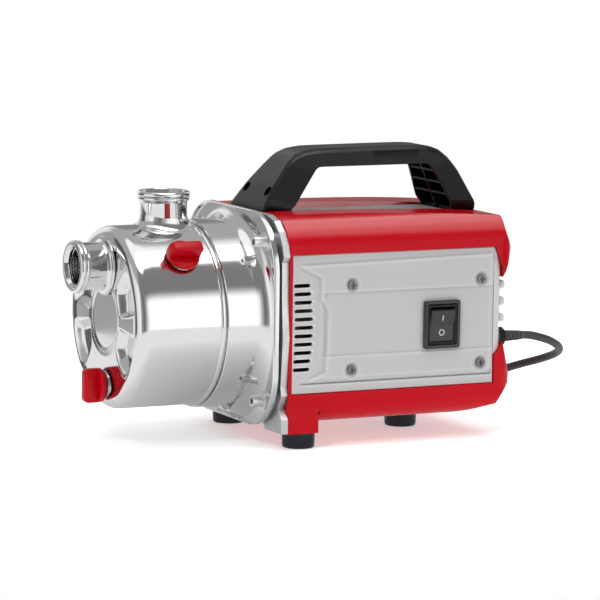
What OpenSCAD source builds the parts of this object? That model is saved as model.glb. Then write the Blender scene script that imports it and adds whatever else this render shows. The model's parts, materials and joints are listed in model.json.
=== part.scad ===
// Shallow well jet pump: a stainless jet pump casing bolted to a cast motor bracket, with a shrouded
// electric motor behind it. +X runs from the suction end to the motor's rear, +Z is up, and the
// operator's side, with the switch, faces -Y. The origin is on the ground under the middle of the pump.

/* [Shaft] */
// Height of the motor shaft above the ground
shaft_z = 108; // [107:0.5:109]
// Radius of the shaft in the bearings
shaft_r = 7.5; // [7:0.25:8]
// Radial running clearance of the shaft and bearings
running_gap = 0.04; // [0.02:0.01:0.08]

/* [Pump casing] */
// Outer radius of the front can
can_r = 77; // [76:0.5:77.5]
// Outer radius of the rear ring
ring_r = 80; // [79.5:0.5:81]
// Sheet thickness of the casing
sheet = 1.5; // [1.2:0.1:1.8]
// Radius of the rounded front edge
can_fillet = 10; // [8:1:12]
// Half width of the square flange
flange_half = 91; // [90:0.5:91]
// Corner radius of the flange
flange_corner = 50; // [46:1:52]
// Distance of each casing bolt from the shaft, sideways and up
bolt_offset = 67; // [66:0.5:68]

/* [Ports] */
// Height of the suction port above the shaft
suction_rise = 44; // [43:0.5:45]
// Outer radius of both port tubes
port_r = 20; // [19.5:0.25:20.5]
// Radius of the port bore, the minor radius of a G1 pipe thread
port_bore_r = 15.15; // [15.1:0.01:15.2]
// Radius of the rolled lip
lip_r = 22.4; // [22:0.1:23]
// Height of the discharge lip above the ground
discharge_top = 213.5; // [212:0.5:215]

/* [Screw plugs] */
// Distance of the drain plug below the shaft
drain_drop = 57; // [56:0.5:58]
// Radius of the plug's flange
plug_flange_r = 14.3; // [14:0.1:14.6]
// Radius of the plug's threaded shank
plug_shank_r = 9.5; // [9:0.25:9.5]
// Height of the wing that turns the plug
wing_h = 11.8; // [9:0.2:12]
// Thickness of the wing
wing_t = 8; // [6:0.5:9]

/* [Housing] */
// Half width of the motor housing
housing_half = 91; // [90:0.5:91]
// Height of the housing's upper edges
housing_top = 196; // [194:0.5:197]
// Height of the housing's underside
housing_bottom = 20; // [19:0.5:21]
// Wall thickness of the housing shells
shell_wall = 2.5; // [2:0.25:3]
// Lower edge of the side panels
panel_low = 48; // [47:0.5:49]
// Upper edge of the side panels
panel_high = 165; // [164:0.5:166]

/* [Switch] */
// Distance of the switch behind the origin
switch_x = 114.5; // [112:0.5:116]
// Height of the switch
switch_z = 101; // [100:0.5:102]

/* [Feet] */
// Radius of a rubber foot
foot_r = 14; // [13:0.5:15]
// Height of a rubber foot
foot_h = 14; // [13.5:0.5:14]

/* [Cable] */
// Radius of the power cable
cable_r = 3.5; // [3.5:0.5:3.5]

/* [Hidden] */
$fn = 96;

// Stations along the shaft, from the suction end to the rear
port_front = -187;
face_x = -158;
bead_x = -79;
lap = 5;
flare_x = -53;
flange_x = -40;
flange_t = 2;
rim_w = 1.8;
seal_plate_x = flange_x + flange_t;
bracket_x = -34.5;
bracket_t = 6;
shell_front = bracket_x + bracket_t + 0.2;
discharge_x = -104;
fill_x = -111;
impeller_x = -75;
panel_front = shell_front + 2.8;
panel_rear = 165.7;
vent_x = 179;
housing_rear = 188.5;
corner_r = 20;

// Bearings of the 15 x 35 x 11 size
bearing_w = 11;
bearing_outer_r = 17.5;
bearing_front_x = -20;
bearing_rear_x = 100;
ball_r = 3;
ball_pitch_r = 12.5;

// Motor
core_front = 12;
core_rear = 72;
core_r = 54;
air_bore_r = 31;
rotor_r = 30.5;
tube_r = 57;

// Side panel
screw_x = [30, 153];
screw_z = [66, 138];
screw_clear_r = 2.2;

// Top strip and handle
valley_half = 26;
valley_z = 188.5;
strip_t = 2;
handle_z = valley_z + strip_t;
strip_rear = 154;
handle_screw_x = [-14, 168];
handle_screw_y = 21;
foot_plate_z = handle_z + 4;

// Feet
foot_front_x = -9;
foot_side = 70;
foot_rear_x = 124;

// Cable, plug and its route: round numbers, from the strain relief to the coil
gland_y = -66;
gland_z = 84;
relief_tip_x = 206;
cable_sides = 10;
cable_route = [
    [206, -66, 84], [214, -66, 83.5], [225, -65, 81], [236, -62, 77.5], [246, -57, 73], [254, -49, 68.5],
    [260, -39, 64], [263, -27, 59.5], [263, -14, 55], [260, -1, 50.5], [254, 12, 46], [246, 24, 41],
    [237, 36, 35], [228, 48, 28], [219, 60, 20.5], [210, 72, 13.5], [202, 84, 8], [195, 97, 4.5],
    [189, 110, 4.2], [185, 123, 4.2], [183, 136, 4.2], [182.5, 150, 4.2],
];
coil_x = 135;
coil_y = 150;
coil_inner_r = 29.3;
coil_outer_r = 51.7;
coil_h = 15.6;
tail_route = [
    [91, 139, 11.3], [91, 132, 11.5], [89, 125, 12.3], [84.5, 118, 13.8], [78, 113, 15.5], [71, 110, 17],
    [64, 109, 17.8], [58, 109, 18],
];
plug_x = 58;
plug_y = 109;
plug_z = 18;

// ---- Shared shapes ----

module rod_x(x0, x1, r) {
    translate([x0, 0, 0]) rotate([0, 90, 0]) cylinder(r = r, h = x1 - x0);
}

module tube_x(x0, x1, outer, inner) {
    difference() {
        rod_x(x0, x1, outer);
        rod_x(x0 - 1, x1 + 1, inner);
    }
}

// Turns a profile of [radius, x] about the X axis
module revolve_x() {
    rotate([0, 90, 0]) rotate_extrude() children();
}

// Extrudes a (y, z) outline along X
module extrude_x(x0, x1) {
    translate([x0, 0, 0]) rotate([90, 0, 90]) linear_extrude(x1 - x0) children();
}

// Extrudes an (x, z) outline along Y
module extrude_y(y0, y1) {
    translate([0, y1, 0]) rotate([90, 0, 0]) linear_extrude(y1 - y0) children();
}

module box(low, high) {
    translate(low) cube(high - low);
}

module on_shaft() {
    translate([0, 0, shaft_z]) children();
}

module both_sides() {
    children();
    mirror([0, 1, 0]) children();
}

module at_bolts() {
    for (side = [-1, 1], rise = [-1, 1])
        translate([0, side * bolt_offset, shaft_z + rise * bolt_offset]) children();
}

// Square of a given half width with round corners, centred on the shaft, in (y, z)
module flange_outline(half, corner) {
    straight = half - corner;
    translate([0, shaft_z]) {
        square([2 * half, 2 * straight], center = true);
        square([2 * straight, 2 * half], center = true);
        for (side = [-1, 1], rise = [-1, 1]) translate([side * straight, rise * straight]) circle(corner);
    }
}

// ---- Pump casing ----

// Filled half section of the front can, in [radius, x], drawn smaller by inset
module can_section(inset) {
    r = can_r - inset;
    fillet = can_fillet - inset;
    rear = bead_x + lap + (inset > 0 ? 1 : 0);
    translate([0, face_x + inset]) square([r - fillet, rear - face_x - inset]);
    translate([0, face_x + can_fillet]) square([r, rear - face_x - can_fillet]);
    translate([r - fillet, face_x + can_fillet]) circle(fillet);
}

// One pressed pocket of the front face: a ring sector, drawn larger by grow
module pocket(angle, half_angle, grow) {
    inner = 36 - grow;
    outer = 66 + grow;
    spread = half_angle + grow * 1.2;
    far = 2 * outer;
    intersection() {
        difference() {
            circle(outer);
            circle(inner);
        }
        rotate(angle) polygon([
            [0, 0], far * [cos(spread), -sin(spread)], [far, 0], far * [cos(spread), sin(spread)],
        ]);
    }
}

module pockets(grow, depth) {
    on_shaft() both_sides() {
        translate([face_x - 5, 0, 0]) rotate([90, 0, 90]) linear_extrude(5 + depth) {
            pocket(26, 18.5, grow);
            pocket(-28, 17.5, grow);
        }
    }
}

module plug_axes(fill) {
    if (fill) translate([fill_x, 0, shaft_z]) rotate([45, 0, 0]) children();
    else translate([face_x, 0, shaft_z - drain_drop]) rotate([0, -90, 0]) children();
}

boss_r = 12;
flange_low = 1.7;
flange_high = 6.1;
thread_gap = 0.08;
fill_seat = can_r + 0.3;
drain_seat = 0.3;

module casing_can() {
    color([0.78, 0.79, 0.8]) difference() {
        union() {
            difference() {
                on_shaft() revolve_x() can_section(0);
                pockets(0, 7);
                on_shaft() rod_x(face_x - 1, face_x + 1.2, 27);
            }
            on_shaft() revolve_x() translate([can_r, bead_x - 3]) circle(1.6);
        }
        difference() {
            on_shaft() revolve_x() can_section(sheet);
            pockets(sheet, 7 + sheet);
            on_shaft() rod_x(face_x - 1, face_x + 1.2 + sheet, 27 + sheet);
        }
        translate([0, 0, shaft_z + suction_rise]) rod_x(face_x - 5, face_x + 12, port_r);
        translate([discharge_x, 0, shaft_z]) cylinder(r = port_r, h = 100);
        plug_axes(true) cylinder(r = boss_r, h = 100);
        plug_axes(false) translate([0, 0, -20]) cylinder(r = boss_r, h = 40);
    }
}

// Flared ring that carries the flange; its front end is lapped over the can
module casing_ring() {
    flare_r = flange_x - flare_x;
    flare_rim = ring_r + 10;
    bore = ring_r - flange_t;
    color([0.78, 0.79, 0.8]) difference() {
        union() {
            on_shaft() revolve_x() difference() {
                polygon([
                    [can_r, bead_x], [ring_r, bead_x], [ring_r, flare_x], [flare_rim, flare_x],
                    [flare_rim, seal_plate_x], [ring_r + 5, seal_plate_x], [bore, flare_x + 2],
                    [bore, bead_x + lap], [can_r, bead_x + lap],
                ]);
                translate([ring_r + flare_r, flare_x]) circle(flare_r);
            }
            difference() {
                extrude_x(flange_x, seal_plate_x) flange_outline(flange_half, flange_corner);
                on_shaft() rod_x(flange_x - 1, seal_plate_x + 1, ring_r + 8);
            }
            // Rolled rim
            difference() {
                extrude_x(flange_x - 3, seal_plate_x) flange_outline(flange_half, flange_corner);
                extrude_x(flange_x - 4, seal_plate_x + 1)
                    flange_outline(flange_half - rim_w, flange_corner - rim_w);
            }
        }
        at_bolts() {
            rod_x(flange_x - 4, seal_plate_x + 1, 3.4);
            rod_x(flange_x - 3, flange_x, 8.1);
        }
    }
}

// Turned and rolled port profile, in [radius, height]; the lip is at the top
module port_profile(length) {
    roll = 2.6;
    difference() {
        union() {
            translate([port_bore_r, 0]) square([port_r - port_bore_r, length - 1]);
            translate([port_r - 2, length - 6.5]) square([lip_r - port_r, 6]);
            translate([lip_r - roll, length - roll]) circle(roll);
            translate([lip_r - roll, length - 6]) circle(roll - 0.6);
        }
        translate([0, -1]) square([port_bore_r, length + 2]);
        translate([0, length - 3]) polygon([[0, 0], [port_bore_r, 0], [port_bore_r + 3, 3.1], [0, 3.1]]);
    }
}

module suction_port() {
    spigot = 10.5;
    length = face_x - port_front + spigot;
    color([0.8, 0.81, 0.82]) translate([face_x + spigot, 0, shaft_z + suction_rise]) rotate([0, -90, 0]) {
        rotate_extrude() port_profile(length);
        difference() {
            translate([0, 0, spigot]) cylinder(r1 = port_r + 5, r2 = port_r + 3.5, h = 2.2);
            translate([0, 0, spigot - 1]) cylinder(r = port_r, h = 5);
        }
    }
}

module discharge_port() {
    low = shaft_z + 72;
    color([0.8, 0.81, 0.82]) {
        difference() {
            translate([discharge_x, 0, low]) rotate_extrude() port_profile(discharge_top - low);
            on_shaft() rod_x(face_x, bead_x, can_r - sheet);
        }
        difference() {
            translate([discharge_x, 0, shaft_z + 60]) cylinder(r = port_r + 6, h = can_r - 60 + 1);
            translate([discharge_x, 0, shaft_z + 50]) cylinder(r = port_r, h = 50);
            on_shaft() {
                rod_x(face_x, bead_x + 10, can_r);
                rod_x(bead_x - 5, bead_x + 10, ring_r);
            }
        }
    }
}

// Threaded boss along local Z, from its inner end to its seat
module boss(low, seat) {
    difference() {
        translate([0, 0, low]) cylinder(r = boss_r, h = seat - low);
        translate([0, 0, low - 1]) cylinder(r = plug_shank_r + thread_gap, h = seat - low + 2);
    }
}

module fill_boss() {
    color([0.72, 0.73, 0.74]) plug_axes(true) boss(fill_seat - 10, fill_seat);
}

module drain_boss() {
    color([0.72, 0.73, 0.74]) plug_axes(false) boss(drain_seat - 9, drain_seat);
}

// Screw plug with a wing, seated at local z = 0
module plug_shape() {
    difference() {
        union() {
            translate([0, 0, -9.5]) cylinder(r = plug_shank_r, h = 12);
            translate([0, 0, flange_low]) cylinder(r = plug_flange_r, h = flange_high - flange_low);
            extrude_y(-wing_t / 2, wing_t / 2) wing_outline();
        }
        translate([0, 0, -10]) cylinder(r = plug_shank_r - 3, h = 8);
    }
}

module wing_outline() {
    top = flange_high + wing_h;
    round_r = 4;
    translate([-plug_flange_r, 3]) square([2 * plug_flange_r, top - 3 - round_r]);
    translate([-plug_flange_r + round_r, 3]) square([2 * (plug_flange_r - round_r), top - 3]);
    for (side = [-1, 1]) translate([side * (plug_flange_r - round_r), top - round_r]) circle(round_r);
}

module oring_shape() {
    translate([0, 0, flange_low / 2]) rotate_extrude()
        translate([plug_shank_r + 1.2, 0]) circle(0.65, $fn = 32);
}

module fill_plug() {
    color([0.72, 0.08, 0.1]) plug_axes(true) translate([0, 0, fill_seat]) plug_shape();
}

module fill_plug_oring() {
    color([0.1, 0.1, 0.1]) plug_axes(true) translate([0, 0, fill_seat]) oring_shape();
}

module drain_plug() {
    color([0.72, 0.08, 0.1]) plug_axes(false) translate([0, 0, drain_seat]) plug_shape();
}

module drain_plug_oring() {
    color([0.1, 0.1, 0.1]) plug_axes(false) translate([0, 0, drain_seat]) oring_shape();
}

bolt_head_x = flange_x - 4.4;

// Four cap screws; the shanks end in the bracket's corner bosses
module casing_bolts() {
    color([0.55, 0.56, 0.57]) at_bolts() difference() {
        union() {
            rod_x(bolt_head_x - 7, bolt_head_x, 5);
            rod_x(bolt_head_x, bracket_x + 8, 3);
        }
        translate([bolt_head_x - 8, 0, 0]) rotate([0, 90, 0]) cylinder(r = 2.9, h = 5, $fn = 6);
    }
}

// A flat washer and a spring washer under each head
module casing_washers() {
    color([0.66, 0.67, 0.68]) at_bolts() {
        tube_x(flange_x - 2, flange_x, 8, 3.2);
        tube_x(bolt_head_x, flange_x - 2, 5.8, 3.2);
    }
}

gasket_r = ring_r + 5;

module casing_gasket() {
    color([0.08, 0.08, 0.08]) difference() {
        on_shaft() tube_x(seal_plate_x, bracket_x, gasket_r + 3, gasket_r);
        at_bolts() rod_x(seal_plate_x - 1, bracket_x + 1, 8.1);
    }
}

module seal_plate() {
    color([0.7, 0.71, 0.72]) on_shaft() difference() {
        union() {
            rod_x(seal_plate_x, seal_plate_x + 2, gasket_r - 0.3);
            rod_x(seal_plate_x - 6, seal_plate_x + 1, 17);
        }
        rod_x(seal_plate_x - 7, seal_plate_x + 3, 14);
    }
}

// ---- Jet and impeller ----

ejector_front = face_x + 3.5;
chamber_rear = ejector_front + 26;

// Round-ended duct outline from the shaft up to the suction port, in (y, z)
module duct_outline(r) {
    translate([0, shaft_z]) circle(r);
    translate([0, shaft_z + suction_rise]) circle(r);
    translate([-r, shaft_z]) square([2 * r, suction_rise]);
}

module ejector_housing() {
    color([0.16, 0.16, 0.17]) difference() {
        extrude_x(ejector_front + 7, chamber_rear) duct_outline(20);
        extrude_x(ejector_front + 9.5, chamber_rear - 2.5) duct_outline(17);
        translate([0, 0, shaft_z + suction_rise]) rod_x(ejector_front, chamber_rear - 4, port_bore_r);
        on_shaft() rod_x(ejector_front, chamber_rear - 5, 6.5);
        on_shaft() rod_x(ejector_front + 9, chamber_rear + 1, 11);
    }
}

module jet_nozzle() {
    color([0.85, 0.72, 0.4]) on_shaft() difference() {
        union() {
            rod_x(ejector_front + 5, ejector_front + 16, 6.5);
            translate([ejector_front + 16, 0, 0]) rotate([0, 90, 0]) cylinder(r1 = 6.5, r2 = 4.5, h = 5);
        }
        rod_x(ejector_front + 4, ejector_front + 12, 4.8);
        rod_x(ejector_front + 11, ejector_front + 22, 3);
    }
}

module venturi_tube() {
    rear = impeller_x - 1.5;
    color([0.2, 0.2, 0.21]) on_shaft() difference() {
        rod_x(chamber_rear - 2.5, rear, 11);
        translate([chamber_rear - 3, 0, 0]) rotate([0, 90, 0]) cylinder(r1 = 9, r2 = 5, h = 12);
        translate([chamber_rear + 8, 0, 0]) rotate([0, 90, 0])
            cylinder(r1 = 5, r2 = 9.6, h = rear - chamber_rear - 7);
    }
}

// Fixed vane ring around the impeller
module diffuser() {
    front = impeller_x - 4;
    rear = seal_plate_x;
    color([0.18, 0.18, 0.19]) on_shaft() {
        difference() {
            rod_x(front, rear, 74);
            rod_x(front + 3, rear + 1, 60.5);
            rod_x(front - 1, rear, 13);
            for (i = [0:11]) rotate([i * 30, 0, 0]) box([front + 5, 58, -8], [front + 16, 76, 8]);
        }
    }
}

// Closed impeller: two shrouds with vanes between them
module impeller() {
    eye_r = 13;
    color([0.75, 0.6, 0.35]) on_shaft() difference() {
        union() {
            tube_x(impeller_x, impeller_x + 2.2, 59, eye_r);
            rod_x(impeller_x + 7, impeller_x + 9.5, 59);
            rod_x(impeller_x + 2, impeller_x + 16, 10);
            for (i = [0:6]) rotate([i * 360 / 7, 0, 0]) translate([0, 14, 0]) rotate([-35, 0, 0])
                box([impeller_x + 1, 0, -1], [impeller_x + 8, 48, 1]);
        }
        rod_x(impeller_x - 1, impeller_x + 20, 6);
        difference() {
            rod_x(impeller_x - 1, impeller_x + 10, 80);
            rod_x(impeller_x - 2, impeller_x + 11, 59);
        }
    }
}

module impeller_nut() {
    color([0.7, 0.6, 0.35]) on_shaft() difference() {
        translate([impeller_x - 5.5, 0, 0]) rotate([0, 90, 0]) cylinder(r = 7.2, h = 7.5, $fn = 6);
        rod_x(impeller_x - 3, impeller_x + 3, 5.9);
    }
}

seal_face_x = seal_plate_x - 5;

module seal_head() {
    color([0.25, 0.25, 0.27]) on_shaft() {
        tube_x(seal_face_x - 5.05, seal_face_x - 0.05, 11.5, shaft_r);
        tube_x(impeller_x + 16, seal_face_x - 5.05, 9.5, shaft_r);
    }
}

module seal_seat() {
    color([0.9, 0.89, 0.85]) on_shaft() tube_x(seal_face_x, seal_plate_x + 2, 14, shaft_r + 0.6);
}

// ---- Motor ----

module bracket_outline() {
    half = [
        [0, 196], [56, 196], [71, 192.5], [81, 184], [88, 174], [91, 164], [88, 159], [88.5, 128], [91, 95],
        [87.5, 54], [89, 47], [82, 36], [90, 27], [90, 15], [58, 15], [52, 24], [0, 24],
    ];
    polygon(concat(half, [for (i = [len(half) - 2:-1:1]) [-half[i][0], half[i][1]]]));
}

// Cast end shield: plate, corner bosses, bearing seat, motor spigot and foot shelves
module motor_bracket() {
    color([0.83, 0.84, 0.85]) difference() {
        union() {
            extrude_x(bracket_x, bracket_x + bracket_t) bracket_outline();
            at_bolts() rod_x(bracket_x - 3.5, bracket_x + 14, 8);
            on_shaft() rod_x(seal_plate_x + 2, bracket_x + 1, gasket_r - 2);
            on_shaft() rod_x(bracket_x + 1, bearing_front_x + bearing_w, 23);
            on_shaft() tube_x(bracket_x + 1, bracket_x + bracket_t + 4, core_r, core_r - 5);
            both_sides() box([bracket_x + 1, -84, 16.8], [4, -56, 23]);
        }
        on_shaft() rod_x(bearing_front_x, bearing_front_x + bearing_w + 1, bearing_outer_r);
        on_shaft() rod_x(seal_plate_x, bearing_front_x + 1, 14);
        at_bolts() rod_x(bracket_x - 5, bracket_x + 9, 3);
        both_sides() translate([foot_front_x, -foot_side, 10]) cylinder(r = 2.5, h = 20);
    }
}

module shaft() {
    color([0.6, 0.61, 0.62]) on_shaft() {
        rod_x(impeller_x - 3, impeller_x + 2, 5.9);
        rod_x(impeller_x + 2, impeller_x + 16, 6);
        rod_x(impeller_x + 16, bearing_rear_x + bearing_w + 2, shaft_r);
        rod_x(bearing_rear_x + bearing_w + 2, 146, 6);
    }
}

module at_bearings() {
    on_shaft() for (x = [bearing_front_x, bearing_rear_x]) translate([x, 0, 0]) children();
}

module bearing_outer_rings() {
    color([0.62, 0.63, 0.65]) at_bearings() difference() {
        tube_x(0, bearing_w, bearing_outer_r, 14);
        rotate([0, 90, 0]) translate([0, 0, bearing_w / 2]) rotate_extrude()
            translate([ball_pitch_r, 0]) circle(ball_r + running_gap);
    }
}

module bearing_inner_rings() {
    color([0.62, 0.63, 0.65]) at_bearings() difference() {
        tube_x(0, bearing_w, 11, shaft_r);
        rotate([0, 90, 0]) translate([0, 0, bearing_w / 2]) rotate_extrude()
            translate([ball_pitch_r, 0]) circle(ball_r + running_gap);
    }
}

module bearing_balls() {
    color([0.7, 0.71, 0.72]) at_bearings() for (i = [0:8])
        rotate([i * 40, 0, 0]) translate([bearing_w / 2, ball_pitch_r, 0]) sphere(ball_r, $fn = 32);
}

module rotor_core() {
    color([0.5, 0.5, 0.52]) on_shaft() {
        tube_x(core_front, core_rear, rotor_r, shaft_r);
        tube_x(core_front - 6, core_front, 27, 18);
        tube_x(core_rear, core_rear + 6, 27, 18);
    }
}

// Laminated stator with slots for the windings
module stator_core() {
    color([0.42, 0.43, 0.45]) on_shaft() difference() {
        rod_x(core_front, core_rear, core_r);
        rod_x(core_front - 1, core_rear + 1, air_bore_r);
        for (i = [0:11]) rotate([i * 30, 0, 0]) box([core_front - 1, 33, -3.5], [core_rear + 1, 45, 3.5]);
    }
}

module windings() {
    color([0.72, 0.38, 0.16]) on_shaft() {
        tube_x(core_front - 14, core_front - 0.3, 47, 33);
        tube_x(core_rear + 0.3, core_rear + 14, 47, 33);
        for (i = [0:11]) rotate([i * 30, 0, 0])
            box([core_front - 0.3, 33.4, -3.1], [core_rear + 0.3, 44.6, 3.1]);
    }
}

module motor_tube() {
    color([0.75, 0.76, 0.78]) on_shaft() tube_x(bracket_x + bracket_t, bearing_rear_x - 8, tube_r, core_r);
}

module rear_end_shield() {
    front = bearing_rear_x - 8;
    color([0.8, 0.81, 0.82]) on_shaft() difference() {
        union() {
            tube_x(front, front + 6, tube_r, 44);
            rod_x(front + 2, front + 8, 45);
            rod_x(front + 2, bearing_rear_x + bearing_w, 22);
        }
        rod_x(bearing_rear_x, bearing_rear_x + bearing_w + 1, bearing_outer_r);
        rod_x(front - 1, bearing_rear_x + 1, 11.5);
        for (i = [0:3]) rotate([45 + i * 90, 0, 0]) translate([0, 50.5, 0]) rod_x(front - 1, front + 7, 2);
        for (i = [0:5]) rotate([i * 60, 0, 0]) translate([0, 33, 0]) rod_x(front - 1, front + 9, 7);
    }
}

module tie_bolts() {
    front = bearing_rear_x - 8;
    color([0.6, 0.6, 0.62]) on_shaft() for (i = [0:3]) rotate([45 + i * 90, 0, 0]) translate([0, 50.5, 0]) {
        rod_x(core_rear + 1, front + 6, 2);
        rod_x(front + 6, front + 9, 3.6);
    }
}

module cooling_fan() {
    front = 120;
    color([0.12, 0.12, 0.13]) on_shaft() difference() {
        union() {
            rod_x(front, front + 22, 12);
            rod_x(front + 10, front + 12.5, 30);
            for (i = [0:8]) rotate([i * 40, 0, 0]) box([front, 8, -1.2], [front + 22, 50, 1.2]);
        }
        rod_x(front - 1, front + 23, 6);
    }
}

module capacitor() {
    color([0.85, 0.85, 0.83]) translate([0, 52.6, shaft_z + 49.3]) {
        rod_x(5, 74, 15);
        rod_x(74, 78, 9);
    }
}

// ---- Housing ----

// Outer outline of the housing across the shaft, in (y, z), drawn smaller by inset
module section_outline(inset) {
    half = housing_half - inset;
    high = housing_top - inset;
    low = housing_bottom + inset;
    top_r = 33 - inset;
    low_r = 30 - inset;
    difference() {
        union() {
            translate([-half, low + low_r]) square([2 * half, high - top_r - low - low_r]);
            translate([-half + top_r, low + low_r]) square([2 * (half - top_r), high - low - low_r]);
            translate([-half + low_r, low]) square([2 * (half - low_r), high - low - top_r]);
            for (side = [-1, 1]) {
                translate([side * (half - top_r), high - top_r]) circle(top_r);
                translate([side * (half - low_r), low + low_r]) circle(low_r);
            }
        }
        floor_z = valley_z - inset;
        polygon([
            [-valley_half - inset, floor_z], [valley_half + inset, floor_z],
            [valley_half + 8 + inset, floor_z + 7.5], [valley_half + 8 + inset, floor_z + 20],
            [-valley_half - 8 - inset, floor_z + 20], [-valley_half - 8 - inset, floor_z + 7.5],
        ]);
    }
}

// Side view of the housing's rear end, in (x, z)
// Side profile in (x, z): under side, rear and the crest, which falls towards the rear
side_low = [[shell_front, 0], [138, 0], [138, 20], [160, 24.3], [174, 27.5], [181, 33]];
side_rear = [
    [185, 40], [187.6, 47], [188.5, 54.5], [185.8, 67.5], [182.5, 81], [182.5, 137], [186.5, 150],
    [188.5, 163], [188.3, 176], [187.5, 184],
];
side_crest = [
    [186, 188.6], [178, 190], [170, 190.7], [150, 192], [125, 193.3], [95, 194.4], [60, 195.3],
    [20, 196], [shell_front, 196.5],
];
module side_outline(inset) {
    polygon(concat(
        [for (p = side_low) p + [-inset, inset]], [for (p = side_rear) p + [-inset, 0]],
        [for (p = side_crest) p - [inset, inset]]
    ));
}

// Trims the rear corners: height against distance outwards, square to the corner
corner_turn = 26;
corner_trim = [
    [150, -1], [153, 19.5], [176, 24.3], [192, 28.2], [196.1, 36.1], [200, 43.2], [202, 47], [202.6, 54.5],
    [199.7, 67.6], [196.9, 81.5], [196.6, 137], [200.6, 150], [202.5, 163], [201.1, 169], [198.4, 176.7],
    [194.9, 187.3], [191.5, 190.5], [180, 210],
];
module corner_form(inset) {
    for_inset = [for (p = corner_trim) p - [inset, 0]];
    intersection_for(side = [-1, 1]) rotate([0, 0, side * corner_turn]) extrude_y(-300, 300)
        polygon(concat([[-250, -1]], for_inset, [[-250, 210]]));
}

module plan_outline(inset, rear) {
    r = corner_r - inset;
    half = housing_half - inset;
    translate([shell_front - inset, -half]) square([rear - inset - r - shell_front + inset, 2 * half]);
    translate([shell_front - inset, -half + r]) square([rear - shell_front, 2 * (half - r)]);
    for (side = [-1, 1]) translate([rear - inset - r, side * (half - r)]) circle(r);
}

// The hollow form stops at the vent cover, so the corners behind it are solid
module housing_form(inset) {
    rear = inset > 0 ? vent_x : housing_rear;
    intersection() {
        extrude_x(shell_front - inset, housing_rear + 10) section_outline(inset);
        extrude_y(-100, 100) side_outline(inset);
        linear_extrude(220) plan_outline(inset, rear);
        corner_form(inset);
    }
}

// Screw tab behind a side panel, tied to the shell's wall
module screw_tabs(low, high) {
    both_sides() for (x = screw_x) box([x - 5, -86.8, low], [x + 5, -80, high]);
}

module upper_shell() {
    color([0.75, 0.07, 0.1]) difference() {
        union() {
            difference() {
                intersection() {
                    housing_form(0);
                    extrude_y(-100, 100) polygon([
                        [shell_front - 1, shaft_z], [panel_front - 0.2, shaft_z],
                        [panel_front - 0.2, panel_high + 0.2], [panel_rear + 0.5, panel_high + 0.2],
                        [181, 137], [200, 137], [200, 215], [shell_front - 1, 215],
                    ]);
                }
                housing_form(shell_wall);
            }
            screw_tabs(screw_z[1] - 7, panel_high + 6);
        }
        both_sides() for (x = screw_x)
            translate([x, -90, screw_z[1]]) rotate([-90, 0, 0]) cylinder(r = 1.6, h = 20);
        for (x = handle_screw_x) both_sides() translate([x, -handle_screw_y, 180]) cylinder(r = 1.9, h = 20);
        box([shell_front - 5, -60, shaft_z - 5], [shell_front + 5, 60, 186]);
    }
}

module lug_outline() {
    // Rounded boss over a front foot, in (x, y)
    translate([foot_front_x, -foot_side]) circle(16);
    translate([shell_front, -foot_side - 18]) square([foot_front_x - shell_front, 34]);
    translate([foot_front_x - 2, -foot_side - 18]) square([12, 10]);
}

module lower_shell() {
    lug_low = 14;
    color([0.72, 0.06, 0.09]) difference() {
        union() {
            difference() {
                intersection() {
                    housing_form(0);
                    extrude_y(-100, 100) polygon([
                        [shell_front - 1, 0], [200, 0], [200, 81], [181, 81], [panel_rear + 0.5, 72],
                        [panel_rear + 0.5, panel_low - 0.2], [panel_front - 0.2, panel_low - 0.2],
                        [panel_front - 0.2, shaft_z - 0.1], [shell_front - 1, shaft_z - 0.1],
                    ]);
                }
                housing_form(shell_wall);
            }
            screw_tabs(panel_low - 6, screw_z[0] + 7);
            both_sides() intersection() {
                translate([0, 0, lug_low]) linear_extrude(24) lug_outline();
                box([shell_front, -90.5, 0], [50, 0, 60]);
            }
            translate([foot_rear_x, 0, lug_low]) cylinder(r = 16, h = 7);
        }
        both_sides() {
            for (x = screw_x) translate([x, -90, screw_z[0]]) rotate([-90, 0, 0]) cylinder(r = 1.6, h = 20);
            box([shell_front - 1, -84.5, 16.5], [4.5, -55.5, 40]);
            translate([foot_front_x, -foot_side, 10]) cylinder(r = 2.5, h = 20);
        }
        translate([foot_rear_x, 0, 10]) cylinder(r = 2.5, h = 20);
        at_gland(vent_x - 15) cylinder(r = 9.4, h = 40);
        box([shell_front - 5, -60, 26], [shell_front + 5, 60, shaft_z + 5]);
    }
}

// ---- Side panels ----

slot_count = 11;
slot_pitch = 7.07;
slot_low = 68.5;

module panel_field() {
    // Raised field of the panel, in (x, z)
    polygon([
        [-22, 156.3], [0.6, 144.3], [1, 126], [4.5, 121.5], [7.5, 117], [6.3, 80], [5, 66], [-20.5, 56],
        [164, 57.5], [164, 159.5],
    ]);
}

module panel_plate(with_switch) {
    difference() {
        union() {
            extrude_y(-89.4, -87) polygon([
                [panel_front, panel_low], [panel_rear, panel_low],
                [panel_rear, panel_high], [panel_front, panel_high],
            ]);
            extrude_y(-90.6, -89) panel_field();
        }
        for (i = [0:slot_count - 1]) {
            bulge = 3 * sin(180 * i / (slot_count - 1));
            extrude_y(-92, -80) translate([-23.5, slot_low + i * slot_pitch - 1.5]) square([13 + bulge, 3.2]);
        }
        for (x = screw_x, z = screw_z) translate([x, -85, z]) rotate([90, 0, 0]) {
            cylinder(r = screw_clear_r, h = 8);
            translate([0, 0, 4]) cylinder(r = 5, h = 8);
        }
        if (with_switch) box([switch_x - 14.2, -95, switch_z - 17.2], [switch_x + 14.2, -80, switch_z + 17.2]);
    }
}

module side_panel_right() {
    color([0.78, 0.79, 0.79]) panel_plate(true);
}

module side_panel_left() {
    color([0.78, 0.79, 0.79]) mirror([0, 1, 0]) panel_plate(false);
}

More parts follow.
